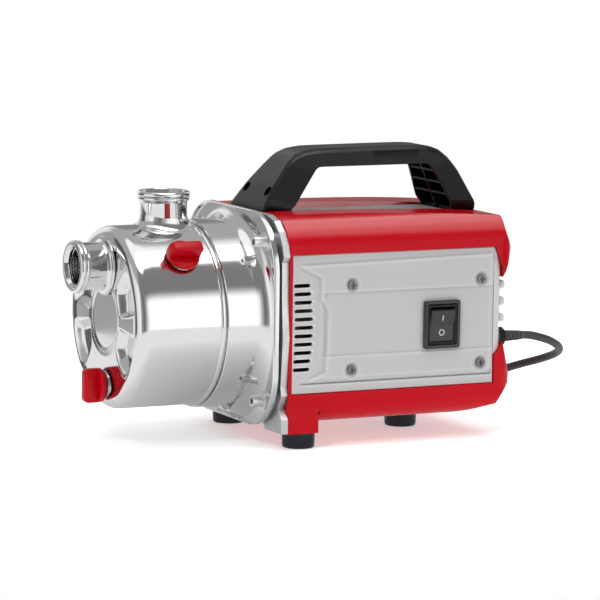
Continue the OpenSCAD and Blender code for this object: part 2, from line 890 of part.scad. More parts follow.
module panel_screws() {
    color([0.35, 0.36, 0.37]) both_sides() for (x = screw_x, z = screw_z)
    translate([x, -85, z]) rotate([90, 0, 0]) {
        translate([0, 0, -4.5]) cylinder(r = 1.6, h = 8.5);
        difference() {
            translate([0, 0, 4]) cylinder(r = 4.2, h = 2.6);
            translate([-0.6, -2.6, 5.4]) cube([1.2, 5.2, 3]);
            translate([-2.6, -0.6, 5.4]) cube([5.2, 1.2, 3]);
        }
    }
}

// Louvred cover around the rear, between the red shells
module rear_vent_cover() {
    rib_pitch = 14.4;
    rib_low = 87.4;
    region = [
        [panel_rear + 0.3, 72.6], [180.8, 81.4], [190, 81.4],
        [190, 136.6], [180.8, 136.6], [panel_rear + 0.3, 164.6],
    ];
    color([0.82, 0.83, 0.83]) difference() {
        union() {
            difference() {
                intersection() {
                    extrude_y(-100, 100) polygon(region);
                    linear_extrude(220) plan_outline(0.6, vent_x);
                    extrude_x(150, 200) section_outline(0.6);
                }
                linear_extrude(220) plan_outline(0.6 + shell_wall, vent_x);
            }
            for (i = [0:3]) intersection() {
                extrude_y(-72, 72) translate([vent_x - 2, rib_low + i * rib_pitch]) {
                    translate([0, -3.5]) square([2, 7]);
                    translate([2, -2]) square([1.6, 4]);
                    for (side = [-1, 1]) translate([2, side * 1.9]) circle(1.6);
                }
                extrude_y(-72, 72) polygon(region);
            }
        }
        for (i = [0:2], y = [-52, 0, 52])
            box([vent_x - 8, y - 24, rib_low + i * rib_pitch + 4],
                [vent_x + 4, y + 24, rib_low + (i + 1) * rib_pitch - 4]);
        at_gland(vent_x - 10) cylinder(r = 6, h = 20);
        at_gland(vent_x) cylinder(r = 9.2, h = 10);
    }
}

module top_strip() {
    color([0.72, 0.72, 0.73]) difference() {
        union() {
            box([shell_front, -valley_half, valley_z], [strip_rear - 6, valley_half, handle_z]);
            box([strip_rear - 8, -valley_half + 6, valley_z], [strip_rear, valley_half - 6, handle_z]);
            for (side = [-1, 1]) translate([strip_rear - 6, side * (valley_half - 6), valley_z])
                cylinder(r = 6, h = strip_t);
        }
        both_sides() translate([handle_screw_x[0], -handle_screw_y, 180]) cylinder(r = 1.9, h = 20);
    }
}

// ---- Handle ----

// Side view of the handle's outer line, in (x, z), from the front foot round to the rear foot
handle_outer = [
    [-26, handle_z], [-26, 198], [-14, 216], [3, 236], [9, 241], [17, 244.5], [32, 246.5], [124, 247],
    [138, 246], [148, 242.5], [156, 235.5], [163.5, 225], [172, 207], [179, 192], [179, valley_z],
];
handle_inner = [
    [156, valley_z], [147, 211], [139, 227.5], [134, 231],
    [31, 231], [27.5, 229], [-1.5, 194], [-1.5, handle_z],
];
// The channel under the outer skin
handle_skin = [
    [-21, 170], [-21, 197], [-9.5, 213], [6.5, 232], [12, 237], [19, 240.5], [33, 242.3], [123, 242.8],
    [136, 242], [145.5, 239], [152.5, 232.5], [159.5, 222.8], [168, 205], [174, 192], [174, 170],
];

// Front view of the handle: wide at the feet, narrow at the grip, in (y, z)
module handle_width(inset) {
    half = [[25.6 - inset, valley_z], [33.4 - inset, 196.2], [34.5 - inset, 197.5],
        [22 - inset, 234], [21 - inset, 242], [18 - inset, 246], [16 - inset, 250]];
    polygon(concat(half, [for (i = [len(half) - 1:-1:0]) [-half[i][0], half[i][1]]]));
}

module handle() {
    color([0.1, 0.1, 0.11]) difference() {
        union() {
            difference() {
                intersection() {
                    extrude_y(-40, 40) polygon(concat(handle_outer, handle_inner));
                    extrude_x(-40, 200) handle_width(0);
                }
                intersection() {
                    extrude_y(-40, 40) polygon(handle_skin);
                    extrude_x(-40, 200) handle_width(3);
                }
            }
            // Stiffening ribs and the screwed foot plates
            intersection() {
                extrude_y(-40, 40) polygon(concat(handle_outer, handle_inner));
                extrude_x(-40, 200) handle_width(1);
                union() {
                    for (z = [204, 214, 224]) box([-40, -40, z], [200, 40, z + 2]);
                    for (x = [50, 70, 90, 110]) box([x, -40, 230], [x + 2, 40, 246]);
                    box([-40, -40, valley_z], [200, 40, foot_plate_z]);
                    box([-40, -1, valley_z], [200, 1, 246]);
                }
            }
        }
        for (x = handle_screw_x) both_sides() translate([x, -handle_screw_y, 180]) cylinder(r = 2.1, h = 20);
        both_sides() translate([-12, -handle_screw_y, 208.7]) rotate([0, -56, 0]) cylinder(r = 4, h = 20);
        for (x = handle_screw_x) both_sides()
            translate([x, -handle_screw_y, foot_plate_z]) cylinder(r = 4.5, h = 4.5);
    }
}

module handle_screws() {
    color([0.5, 0.5, 0.52]) for (x = handle_screw_x) both_sides() translate([x, -handle_screw_y, 0]) {
        translate([0, 0, foot_plate_z]) cylinder(r = 3.8, h = 2.6);
        translate([0, 0, 183]) cylinder(r = 1.9, h = foot_plate_z - 183);
    }
}

// ---- Rocker switch ----

rocker_half_w = 11.2;
rocker_half_h = 13.9;
rocker_pivot_y = -86;
rocker_tilt = 8;
rocker_pin_r = 1.4;

module switch_bezel() {
    color([0.09, 0.09, 0.1]) difference() {
        extrude_y(-94, -90.6) translate([switch_x, switch_z]) {
            square([34, 41], center = true);
            translate([8, 0]) square([19.5, 34], center = true);
        }
        box([switch_x - 13.6, -96, switch_z - 16.7], [switch_x + 13.6, -89, switch_z + 16.7]);
    }
}

module switch_body() {
    color([0.12, 0.12, 0.13]) difference() {
        union() {
            box([switch_x - 13.5, -93, switch_z - 16.6], [switch_x + 13.5, -62, switch_z + 16.6]);
            for (z = [-9, 0, 9])
                box([switch_x - 3, -62, switch_z + z - 0.4], [switch_x + 3, -56, switch_z + z + 0.4]);
        }
        box([switch_x - 11.6, -95, switch_z - 14.9], [switch_x + 11.6, -72, switch_z + 14.9]);
        translate([0, rocker_pivot_y, switch_z])
            rod_x(switch_x - 13, switch_x + 13, rocker_pin_r + running_gap);
    }
}

// Rocker: two faces meeting at a shallow angle; shown switched off, its lower face pressed in
module switch_rocker() {
    color([0.14, 0.14, 0.15]) translate([switch_x, rocker_pivot_y, switch_z]) rotate([rocker_tilt, 0, 0]) {
        intersection() {
            translate([-rocker_half_w, 0, 0]) rotate([90, 0, 90]) linear_extrude(2 * rocker_half_w) polygon([
                [-5, -rocker_half_h], [-8, -rocker_half_h + 0.6], [-6.2, 0], [-8, rocker_half_h - 0.6],
                [-5, rocker_half_h], [6, 4], [6, -4],
            ]);
            rotate([0, 90, 0]) cylinder(r = 15.6, h = 40, center = true);
        }
        rod_x(-12.8, 12.8, rocker_pin_r);
    }
}

// ---- Feet ----

module foot_shape() {
    difference() {
        union() {
            cylinder(r = foot_r - 1, h = foot_h);
            translate([0, 0, 1]) cylinder(r = foot_r, h = foot_h - 1);
        }
        translate([0, 0, -1]) cylinder(r = 4.6, h = 6);
        translate([0, 0, -1]) cylinder(r = 2.5, h = foot_h + 2);
    }
}

module foot_front_right() {
    color([0.07, 0.07, 0.09]) translate([foot_front_x, -foot_side, 0]) foot_shape();
}

module foot_front_left() {
    color([0.07, 0.07, 0.09]) translate([foot_front_x, foot_side, 0]) foot_shape();
}

module foot_rear() {
    color([0.07, 0.07, 0.09]) translate([foot_rear_x, 0, 0]) foot_shape();
}

module foot_screws() {
    places = [[foot_front_x, -foot_side], [foot_front_x, foot_side], [foot_rear_x, 0]];
    color([0.5, 0.5, 0.52]) for (place = places) translate([place[0], place[1], 0]) {
        translate([0, 0, 2.4]) cylinder(r = 4.2, h = 2.6);
        translate([0, 0, 5]) cylinder(r = 2.5, h = 17);
    }
}

// ---- Cable ----

module at_gland(x) {
    translate([x, gland_y, gland_z]) rotate([0, 90, 0]) children();
}

module cable_gland() {
    color([0.3, 0.3, 0.31]) difference() {
        union() {
            at_gland(vent_x) cylinder(r = 9, h = 2);
            at_gland(vent_x - 8) cylinder(r = 6, h = 10);
        }
        at_gland(vent_x - 9) cylinder(r = cable_r, h = 20);
    }
}

module gland_nut() {
    color([0.1, 0.1, 0.11]) difference() {
        at_gland(vent_x + 2) cylinder(r = 8.2, h = 6, $fn = 8);
        at_gland(vent_x) cylinder(r = cable_r, h = 20);
    }
}

module strain_relief() {
    color([0.1, 0.1, 0.11]) at_gland(vent_x + 8)
        cylinder(r1 = 5.6, r2 = cable_r + 0.2, h = relief_tip_x - vent_x - 8);
}

// Sweeps a round section along a route: one ring at each point, square to the path there
function unit(v) = v / norm(v);
function heading(route, i) = unit(route[min(i + 1, len(route) - 1)] - route[max(i - 1, 0)]);
function ring(route, i, r, sides) =
    let (forward = heading(route, i), across = unit(cross([0, 0, 1], forward)), upward = cross(forward, across))
    [for (k = [0:sides - 1]) route[i] + r * (cos(360 * k / sides) * across + sin(360 * k / sides) * upward)];

module swept_cable(route, r, sides) {
    count = len(route);
    points = [for (i = [0:count - 1]) each ring(route, i, r, sides)];
    side_faces = [for (i = [0:count - 2], k = [0:sides - 1]) let (n = (k + 1) % sides)
        [i * sides + k, i * sides + n, (i + 1) * sides + n, (i + 1) * sides + k]];
    first = [for (k = [sides - 1:-1:0]) k];
    last = [for (k = [0:sides - 1]) (count - 1) * sides + k];
    polyhedron(points, concat(side_faces, [first, last]));
}

module power_cable() {
    color([0.1, 0.1, 0.1]) swept_cable(cable_route, cable_r, cable_sides);
}

module cable_coil() {
    color([0.1, 0.1, 0.1]) translate([coil_x, coil_y, 0]) rotate_extrude()
        translate([coil_inner_r, 0]) square([coil_outer_r - coil_inner_r, coil_h]);
}

module cable_tail() {
    color([0.1, 0.1, 0.1]) swept_cable(tail_route, cable_r, cable_sides);
}

// Two-pin earthed plug lying on its side, pins towards -X
module mains_plug() {
    color([0.12, 0.12, 0.12]) translate([plug_x, plug_y, plug_z]) rotate([0, -90, 0]) {
        cylinder(r1 = 6, r2 = 17.5, h = 22);
        translate([0, 0, 22]) cylinder(r = 17.8, h = 16);
        for (side = [-1, 1]) translate([0, side * 9.5, 38]) cylinder(r = 2.4, h = 19);
    }
}

casing_can();
casing_ring();
suction_port();
discharge_port();
fill_boss();
drain_boss();
fill_plug();
fill_plug_oring();
drain_plug();
drain_plug_oring();
casing_bolts();
casing_washers();
casing_gasket();
seal_plate();
ejector_housing();
jet_nozzle();
venturi_tube();
diffuser();
impeller();
impeller_nut();
seal_head();
seal_seat();
motor_bracket();
shaft();
bearing_outer_rings();
bearing_balls();
bearing_inner_rings();
rotor_core();
stator_core();
windings();
motor_tube();
rear_end_shield();
tie_bolts();
cooling_fan();
capacitor();
upper_shell();
lower_shell();
side_panel_right();
side_panel_left();
panel_screws();
rear_vent_cover();
top_strip();
handle();
handle_screws();
switch_bezel();
switch_body();
switch_rocker();
foot_front_right();
foot_front_left();
foot_rear();
foot_screws();
cable_gland();
gland_nut();
strain_relief();
power_cable();
cable_coil();
cable_tail();
mains_plug();
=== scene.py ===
"""Shallow well jet pump: detailed shapes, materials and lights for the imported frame.

The frame is in metres, +X from the suction port to the motor's rear, +Z up. Shapes here are written in
millimetres. The near side, with the switch, is -Y.
"""
import json
import math

import bmesh
import bpy
from mathutils import Matrix, Vector


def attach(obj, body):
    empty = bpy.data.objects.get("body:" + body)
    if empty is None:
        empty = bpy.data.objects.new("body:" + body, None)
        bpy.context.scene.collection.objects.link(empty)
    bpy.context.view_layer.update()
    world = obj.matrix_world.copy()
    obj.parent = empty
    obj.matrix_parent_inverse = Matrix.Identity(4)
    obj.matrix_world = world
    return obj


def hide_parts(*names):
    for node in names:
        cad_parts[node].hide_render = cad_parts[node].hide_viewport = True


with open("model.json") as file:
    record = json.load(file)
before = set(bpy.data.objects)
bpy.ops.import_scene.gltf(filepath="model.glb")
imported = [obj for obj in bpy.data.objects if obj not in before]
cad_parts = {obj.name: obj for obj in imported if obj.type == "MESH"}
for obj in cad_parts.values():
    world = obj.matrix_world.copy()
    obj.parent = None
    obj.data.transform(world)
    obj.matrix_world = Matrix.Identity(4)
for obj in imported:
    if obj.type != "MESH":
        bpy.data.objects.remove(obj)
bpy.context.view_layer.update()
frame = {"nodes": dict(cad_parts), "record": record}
nodes = frame["nodes"]
MM = 0.001

# ---- Camera ----

CAMERA_AZIMUTH = math.radians(-25.94)
CAMERA_ELEVATION = math.radians(7.5)
CAMERA_ROLL = math.radians(0.75)
CAMERA_DISTANCE = 3.182
CAMERA_TARGET = Vector((0.0251, 0.0, 0.1145))
CAMERA_LENS = 222.0
SENSOR_WIDTH = 36.0


def make_camera():
    """Camera aimed at the target, with a slight roll."""
    back = Vector((math.sin(CAMERA_AZIMUTH) * math.cos(CAMERA_ELEVATION),
                   -math.cos(CAMERA_AZIMUTH) * math.cos(CAMERA_ELEVATION), math.sin(CAMERA_ELEVATION)))
    right = Vector((math.cos(CAMERA_AZIMUTH), math.sin(CAMERA_AZIMUTH), 0.0))
    up = back.cross(right)
    rolled_right = right * math.cos(CAMERA_ROLL) + up * math.sin(CAMERA_ROLL)
    rolled_up = up * math.cos(CAMERA_ROLL) - right * math.sin(CAMERA_ROLL)
    data = bpy.data.cameras.new("camera")
    data.lens = CAMERA_LENS
    data.sensor_width = SENSOR_WIDTH
    data.clip_end = 50.0
    camera = bpy.data.objects.new("camera", data)
    matrix = Matrix((rolled_right, rolled_up, back)).transposed().to_4x4()
    matrix.translation = CAMERA_TARGET + back * CAMERA_DISTANCE
    camera.matrix_world = matrix
    bpy.context.scene.collection.objects.link(camera)
    bpy.context.scene.camera = camera


make_camera()

# ---- Mesh helpers ----

SHAFT_Z = 108.0
SLIVER = 0.002
BEVEL_ANGLE = 30.0


def smooth(value, low, high):
    """0 below low, 1 above high, and a smooth step between them."""
    t = min(1.0, max(0.0, (value - low) / (high - low)))
    return t * t * (3.0 - 2.0 * t)


def grid(rows, wrap_rows=False, wrap_cols=False):
    """Points and quads of a grid given as rows of equally many points."""
    count, width = len(rows), len(rows[0])
    points = [point for row in rows for point in row]
    faces = []
    for i in range(count if wrap_rows else count - 1):
        for k in range(width if wrap_cols else width - 1):
            a, b = i, (i + 1) % count
            c, d = k, (k + 1) % width
            faces.append((a * width + c, a * width + d, b * width + d, b * width + c))
    return points, faces


def as_object(name, mesh):
    data = bpy.data.meshes.new(name)
    mesh.to_mesh(data)
    mesh.free()
    piece = bpy.data.objects.new(name, data)
    bpy.context.scene.collection.objects.link(piece)
    return piece


def build(name, points, faces, merge=0.01):
    """A mesh object from millimetre points, with doubles merged and normals outwards."""
    mesh = bmesh.new()
    corners = [mesh.verts.new(Vector(point) * MM) for point in points]
    for face in faces:
        mesh.faces.new([corners[i] for i in face])
    bmesh.ops.remove_doubles(mesh, verts=mesh.verts, dist=merge * MM)
    bmesh.ops.dissolve_degenerate(mesh, edges=mesh.edges, dist=SLIVER * MM)
    bmesh.ops.recalc_face_normals(mesh, faces=mesh.faces)
    return as_object(name, mesh)


def finish_piece(piece, slot, body, *replaced, angle=35.0):
    """Material, slot and body of a piece, and the CAD nodes that it stands for."""
    dress(piece, slot, angle)
    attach(piece, body)
    if replaced:
        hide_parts(*replaced)
    return piece


def drill(radius, depth, place):
    """Cutter for a round hole."""
    return turned("drill", [(0.05, 0.0), (radius, 0.0), (radius, depth), (0.05, depth)], place, steps=32)


def solidify(piece, thickness):
    """Gives a sheet its thickness, inwards."""
    modifier = piece.modifiers.new("wall", "SOLIDIFY")
    modifier.thickness = thickness * MM
    modifier.offset = -1.0
    modifier.use_even_offset = True


def bevel(piece, width, segments):
    """Rounds the piece's sharp edges."""
    modifier = piece.modifiers.new("rounded_edges", "BEVEL")
    modifier.width = width * MM
    modifier.segments = segments
    modifier.limit_method = "ANGLE"
    modifier.angle_limit = math.radians(BEVEL_ANGLE)
    modifier.use_clamp_overlap = True


def apply_modifiers(piece):
    """Writes the modifiers' result into the mesh."""
    evaluated = piece.evaluated_get(bpy.context.evaluated_depsgraph_get())
    data = bpy.data.meshes.new_from_object(evaluated)
    piece.modifiers.clear()
    piece.data = data


def joined(name, *parts):
    """One object from several, with their modifiers applied."""
    mesh = bmesh.new()
    for part in parts:
        apply_modifiers(part)
        mesh.from_mesh(part.data)
        bpy.data.objects.remove(part)
    return as_object(name, mesh)


def turned(name, profile, place, steps=96):
    """Turns a closed profile of (radius, height) about an axis that place maps to the part."""
    angles = [2 * math.pi * k / steps for k in range(steps)]
    rows = [[place(r * math.cos(a), r * math.sin(a), h) for a in angles] for r, h in profile]
    return build(name, *grid(rows, wrap_rows=True, wrap_cols=True))


def along_x(x0, y0, z0):
    """Axis towards -X from (x0, y0, z0)."""
    return lambda a, b, h: (x0 - h, y0 + a, z0 + b)


def along_z(x0, y0, z0):
    """Axis towards +Z from (x0, y0, z0)."""
    return lambda a, b, h: (x0 + a, y0 + b, z0 + h)


def arc(cx, cy, r, start, end, count):
    """Points on a circle, angles in degrees."""
    return [(cx + r * math.cos(math.radians(start + (end - start) * i / count)),
             cy + r * math.sin(math.radians(start + (end - start) * i / count))) for i in range(count + 1)]


def extruded(name, outline, place, low, high):
    """A closed plate from an outline of (u, v) points, from low to high."""
    count = len(outline)
    points = [place(u, v, low) for u, v in outline] + [place(u, v, high) for u, v in outline]
    faces = [tuple(range(count)), tuple(range(count, 2 * count))]
    faces += [(k, (k + 1) % count, count + (k + 1) % count, count + k) for k in range(count)]
    return build(name, points, faces)


def cut(piece, *cutters):
    """Takes the cutters away from the piece."""
    for cutter in cutters:
        modifier = piece.modifiers.new("cut", "BOOLEAN")
        modifier.operation = "DIFFERENCE"
        modifier.solver = "EXACT"
        modifier.object = cutter
        apply_modifiers(piece)
        bpy.data.objects.remove(cutter)


def rounded_outline(cx, cz, w, h, r, count=5):
    """Rectangle of w by h about (cx, cz), with rounded corners."""
    right, left = cx + w / 2 - r, cx - w / 2 + r
    top, bottom = cz + h / 2 - r, cz - h / 2 + r
    corners = ((right, top), (left, top), (left, bottom), (right, bottom))
    return [point for i, (x, z) in enumerate(corners) for point in arc(x, z, r, 90 * i, 90 * i + 90, count)]


# ---- Material helpers ----


def socket(shader, name, value):
    shader.inputs[name].default_value = value


class Paint:
    """A principled material built step by step, with textures in object space."""

    def __init__(self, name, color, roughness, metallic=0.0):
        self.material = bpy.data.materials.new(name)
        self.material.use_nodes = True
        self.tree = self.material.node_tree
        self.shader = self.tree.nodes["Principled BSDF"]
        socket(self.shader, "Base Color", (*color, 1.0))
        socket(self.shader, "Roughness", roughness)
        socket(self.shader, "Metallic", metallic)
        self.color = color
        self.roughness = roughness
        self.coords = self.tree.nodes.new("ShaderNodeTexCoord").outputs["Object"]
        self.normal = None

    def node(self, kind, **values):
        """A node of this kind, with its inputs or properties set by name."""
        made = self.tree.nodes.new(kind)
        for name, value in values.items():
            if name in made.inputs:
                made.inputs[name].default_value = value
            else:
                setattr(made, name, value)
        return made

    def link(self, source, target):
        self.tree.links.new(source, target)

    def noise(self, scale, detail=4.0, stretch=(1.0, 1.0, 1.0)):
        """Noise texture in object space, finer as scale grows."""
        mapping = self.node("ShaderNodeMapping", Scale=stretch)
        self.link(self.coords, mapping.inputs["Vector"])
        texture = self.node("ShaderNodeTexNoise", Scale=scale, Detail=detail)
        self.link(mapping.outputs["Vector"], texture.inputs["Vector"])
        return texture.outputs["Fac"]

    def spread(self, source, low, high, start=0.3, end=0.7):
        """Maps a texture value to the range low..high."""
        limits = {"From Min": start, "From Max": end, "To Min": low, "To Max": high}
        ramp = self.node("ShaderNodeMapRange", **limits)
        self.link(source, ramp.inputs["Value"])
        return ramp.outputs["Result"]

    def vary_roughness(self, source, amount):
        """Lets the roughness follow a texture, by amount either way."""
        self.link(self.spread(source, self.roughness - amount, self.roughness + amount),
                  self.shader.inputs["Roughness"])

    def vary_color(self, source, dark, light=None, start=0.3, end=0.7):
        """Lets the colour follow a texture, from dark to light."""
        mix = self.node("ShaderNodeMix", data_type="RGBA")
        mix.inputs["A"].default_value = (*dark, 1.0)
        mix.inputs["B"].default_value = (*(light or self.color), 1.0)
        self.link(self.spread(source, 0.0, 1.0, start, end), mix.inputs["Factor"])
        self.link(mix.outputs["Result"], self.shader.inputs["Base Color"])

    def bump(self, source, height, strength=1.0):
        """Adds relief, its height in metres."""
        bump = self.node("ShaderNodeBump", Distance=height, Strength=strength)
        self.link(source, bump.inputs["Height"])
        if self.normal:
            self.link(self.normal, bump.inputs["Normal"])
        self.normal = bump.outputs["Normal"]
        self.link(self.normal, self.shader.inputs["Normal"])

    def edges(self):
        """About 0.5 on flats, more on convex edges and less in corners."""
        return self.node("ShaderNodeNewGeometry").outputs["Pointiness"]


def polished_steel():
    """Drawn and polished stainless sheet: faint smudges, brush lines and a long wave."""
    paint = Paint("polished_steel", (0.74, 0.74, 0.745), 0.1, 1.0)
    paint.vary_roughness(paint.noise(22.0, 5.0), 0.035)
    paint.bump(paint.noise(180.0, 3.0, (0.15, 4.0, 4.0)), 0.00002, 0.25)
    paint.bump(paint.noise(30.0, 1.0), 0.0002, 0.25)
    return paint.material


def boss_steel():
    """Turned steel of the welded bosses."""
    paint = Paint("boss_steel", (0.62, 0.63, 0.64), 0.28, 1.0)
    paint.vary_roughness(paint.noise(300.0), 0.08)
    paint.bump(paint.noise(900.0), 0.00004)
    return paint.material


def zinc_steel(name, color, roughness):
    """Plated steel of the screws, brighter on its edges as wear and a painted highlight, and darker in its
    corners as painted shade.
    """
    paint = Paint(name, color, roughness, 1.0)
    paint.vary_roughness(paint.noise(500.0), 0.1)
    # Painted shade in the corners, and wear with a painted highlight on the edges
    dark, light = (tuple(min(1.0, tone * c) for c in color) for tone in (0.75, 1.25))
    paint.vary_color(paint.edges(), dark, light, 0.48, 0.54)
    paint.bump(paint.noise(1200.0), 0.00003)
    return paint.material


def cast_aluminium():
    """Blasted casting with a slight mottle."""
    paint = Paint("cast_aluminium", (0.7, 0.71, 0.72), 0.42, 0.9)
    paint.vary_roughness(paint.noise(260.0), 0.08)
    paint.vary_color(paint.noise(40.0), (0.6, 0.61, 0.62))
    paint.bump(paint.noise(1400.0, 3.0), 0.00012, 0.5)
    return paint.material


def moulded(name, color, roughness, grain=0.3, specular=0.5):
    """Injection-moulded plastic: fine grain and slight tone variation."""
    paint = Paint(name, color, roughness)
    socket(paint.shader, "Specular IOR Level", specular)
    paint.vary_roughness(paint.noise(90.0), 0.04)
    paint.vary_color(paint.noise(14.0, 2.0), tuple(0.82 * c for c in color))
    paint.bump(paint.noise(1500.0, 2.0), 0.00004, grain)
    return paint.material


def gloss_red():
    """Glossy moulded red: a faint long wave in the surface and slight tone variation."""
    color = (0.45, 0.0005, 0.007)
    paint = Paint("red_plastic", color, 0.22)
    socket(paint.shader, "Specular IOR Level", 0.14)
    paint.vary_roughness(paint.noise(60.0), 0.04)
    paint.vary_color(paint.noise(9.0, 2.0), tuple(0.9 * c for c in color))
    paint.bump(paint.noise(30.0, 1.0), 0.00008, 0.1)
    return paint.material


def silver_panel():
    """Painted silver-grey plastic, with a painted highlight on its raised edges and painted shade in its
    creases.
    """
    paint = Paint("grey_plastic", (0.46, 0.46, 0.46), 0.4)
    socket(paint.shader, "Specular IOR Level", 0.3)
    paint.vary_roughness(paint.noise(90.0), 0.04)
    # Painted highlight on convex edges and painted shade in creases, from the pointiness
    paint.vary_color(paint.edges(), (0.3, 0.3, 0.3), (0.58, 0.58, 0.58), 0.46, 0.54)
    paint.bump(paint.noise(1500.0, 2.0), 0.00004, 0.15)
    return paint.material


def rubber(name, color, roughness):
    """Matt rubber, greyer on its edges as a painted highlight."""
    paint = Paint(name, color, roughness)
    paint.vary_roughness(paint.noise(200.0), 0.08)
    # Painted highlight: convex edges lighter
    paint.vary_color(paint.edges(), color, tuple(1.8 * c + 0.01 for c in color), 0.5, 0.56)
    paint.bump(paint.noise(1800.0, 2.0), 0.00005, 0.6)
    return paint.material


def metal(name, color, roughness):
    """Plain machined metal."""
    paint = Paint(name, color, roughness, 1.0)
    paint.vary_roughness(paint.noise(400.0), 0.06)
    paint.bump(paint.noise(1500.0), 0.00003)
    return paint.material


# Colour, roughness, grain and specular level
PLASTICS = {
    "red_knob": ((0.42, 0.0008, 0.006), 0.3, 0.15, 0.16),
    "black_plastic": ((0.005, 0.005, 0.0055), 0.3, 0.4, 0.25),
    "rocker_plastic": ((0.022, 0.022, 0.025), 0.25, 0.2),
    "gland_plastic": ((0.05, 0.05, 0.053), 0.4),
    "inner_plastic": ((0.03, 0.03, 0.032), 0.5),
    "capacitor_plastic": ((0.6, 0.6, 0.58), 0.45),
    "seal_carbon": ((0.03, 0.03, 0.033), 0.3),
    "ceramic": ((0.75, 0.74, 0.7), 0.15),
}
# Colour and roughness
RUBBERS = {
    "seal_rubber": ((0.015, 0.015, 0.016), 0.6),
    "foot_rubber": ((0.003, 0.0035, 0.009), 0.24),
    "cable_rubber": ((0.02, 0.02, 0.022), 0.5),
}
METALS = {
    "brass": ((0.75, 0.55, 0.24), 0.25),
    "bearing_steel": ((0.6, 0.61, 0.62), 0.18),
    "lamination": ((0.3, 0.31, 0.32), 0.45),
    "copper": ((0.66, 0.3, 0.12), 0.35),
}
MATERIALS = {
    "polished_steel": polished_steel(),
    "boss_steel": boss_steel(),
    "zinc_steel": zinc_steel("zinc_steel", (0.72, 0.72, 0.73), 0.36),
    "dark_screw": zinc_steel("dark_screw", (0.15, 0.15, 0.155), 0.3),
    "cast_aluminium": cast_aluminium(),
    "red_plastic": gloss_red(),
    "grey_plastic": silver_panel(),
}
for table, make in ((PLASTICS, moulded), (RUBBERS, rubber), (METALS, metal)):
    MATERIALS.update({name: make(name, *values) for name, values in table.items()})


def dress(piece, slot, smooth_angle):
    """Gives a piece its material and smooth shading that keeps edges sharp."""
    piece.data.materials.clear()
    piece.data.materials.append(MATERIALS[slot])
    if piece.type == "MESH":
        for face in piece.data.polygons:
            face.use_smooth = True
        piece.data.set_sharp_from_angle(angle=math.radians(smooth_angle))


RED_SHELLS = ("upper_shell", "lower_shell")
SOFT_NODES = RED_SHELLS + ("rear_vent_cover",)
SOFT_ANGLE, CAD_ANGLE = 52.0, 35.0


def dress_cad_nodes():
    for part in frame["record"]["subparts"]:
        smooth_angle = SOFT_ANGLE if part["node"] in SOFT_NODES else CAD_ANGLE
        dress(nodes[part["node"]], part["material_slot"], smooth_angle)


dress_cad_nodes()

# ---- Power cable ----

CABLE_R = 3.5
CABLE_EXIT = (206.0, -66.0, 84.0)
CABLE_ROUTE = (
    CABLE_EXIT, (214.0, -66.0, 83.5), (225.0, -65.0, 81.0), (236.0, -62.0, 77.5), (246.0, -57.0, 73.0),
    (254.0, -49.0, 68.5), (260.0, -39.0, 64.0), (263.0, -27.0, 59.5), (263.0, -14.0, 55.0),
    (260.0, -1.0, 50.5), (254.0, 12.0, 46.0), (246.0, 24.0, 41.0), (237.0, 36.0, 35.0), (228.0, 48.0, 28.0),
    (219.0, 60.0, 20.5), (210.0, 72.0, 13.5), (202.0, 84.0, 8.0), (195.0, 97.0, 4.5), (189.0, 110.0, 4.2),
    (185.0, 123.0, 4.2), (183.0, 136.0, 4.2))
PLUG_ENTRY = (58.0, 109.0, 18.0)
TAIL_BEND = 32.0
COIL_CENTRE = (135.0, 150.0)
# The lower layer's outer turn and gap, and the upper layer's inner turn and gap
OUTER_TURN, TURN_GAP = 47.6, 7.1
UPPER_TURN, UPPER_GAP = 33.5, 7.2
LOW_Z, HIGH_Z = 4.2, 11.3
# The climb to the upper layer, in degrees round the coil
CLIMB_START, CLIMB_END = 925.0, 1030.0
COIL_STEP, COIL_KNOTS = 20.0, 82
TAIL_STEP, TAIL_KNOTS = 15.0, 7


def coil_point(degrees):
    """Three turns inwards on the floor, then one and a half outwards on top of them."""
    if degrees < CLIMB_END:
        radius = OUTER_TURN
        for turn in range(2):
            radius -= TURN_GAP * smooth(degrees, 360.0 * turn + 280.0, 360.0 * turn + 345.0)
    else:
        radius = UPPER_TURN + UPPER_GAP * (degrees - CLIMB_END) / 360.0
    z = LOW_Z + (HIGH_Z - LOW_Z) * smooth(degrees, CLIMB_START, CLIMB_END)
    angle = math.radians(degrees)
    return (COIL_CENTRE[0] + radius * math.cos(angle), COIL_CENTRE[1] + radius * math.sin(angle), z)


def tail_point(degrees):
    """Quarter turn that leads from the top of the coil to the plug."""
    angle = math.radians(degrees)
    return (PLUG_ENTRY[0] + TAIL_BEND * math.cos(angle), PLUG_ENTRY[1] + TAIL_BEND * (1.0 - math.sin(angle)),
            HIGH_Z + (PLUG_ENTRY[2] - HIGH_Z) * smooth(degrees, 0.0, 90.0))


def make_cable():
    """The whole cable as one curve: span, coil and tail."""
    points = list(CABLE_ROUTE)
    points += [coil_point(COIL_STEP * i) for i in range(COIL_KNOTS)]
    points += [tail_point(TAIL_STEP * i) for i in range(TAIL_KNOTS)]
    data = bpy.data.curves.new("mains_cable", "CURVE")
    data.dimensions = "3D"
    data.bevel_depth = CABLE_R * MM
    data.bevel_resolution = 6
    data.resolution_u = 5
    data.use_fill_caps = True
    spline = data.splines.new("BEZIER")
    spline.bezier_points.add(len(points) - 1)
    for knot, point in zip(spline.bezier_points, points):
        knot.co = Vector(point) * MM
        knot.handle_left_type = knot.handle_right_type = "AUTO"
    cable = bpy.data.objects.new("mains_cable", data)
    bpy.context.scene.collection.objects.link(cable)
    return finish_piece(cable, "cable_rubber", "pump", "power_cable", "cable_coil", "cable_tail")


TIE_ANGLE = 120.0
# Section of the strap, as (height over the cables' centres, side)
STRAP = ((3.55, -3.0), (3.95, -3.2), (4.15, -2.9), (4.15, 2.9), (3.95, 3.2), (3.55, 3.0))


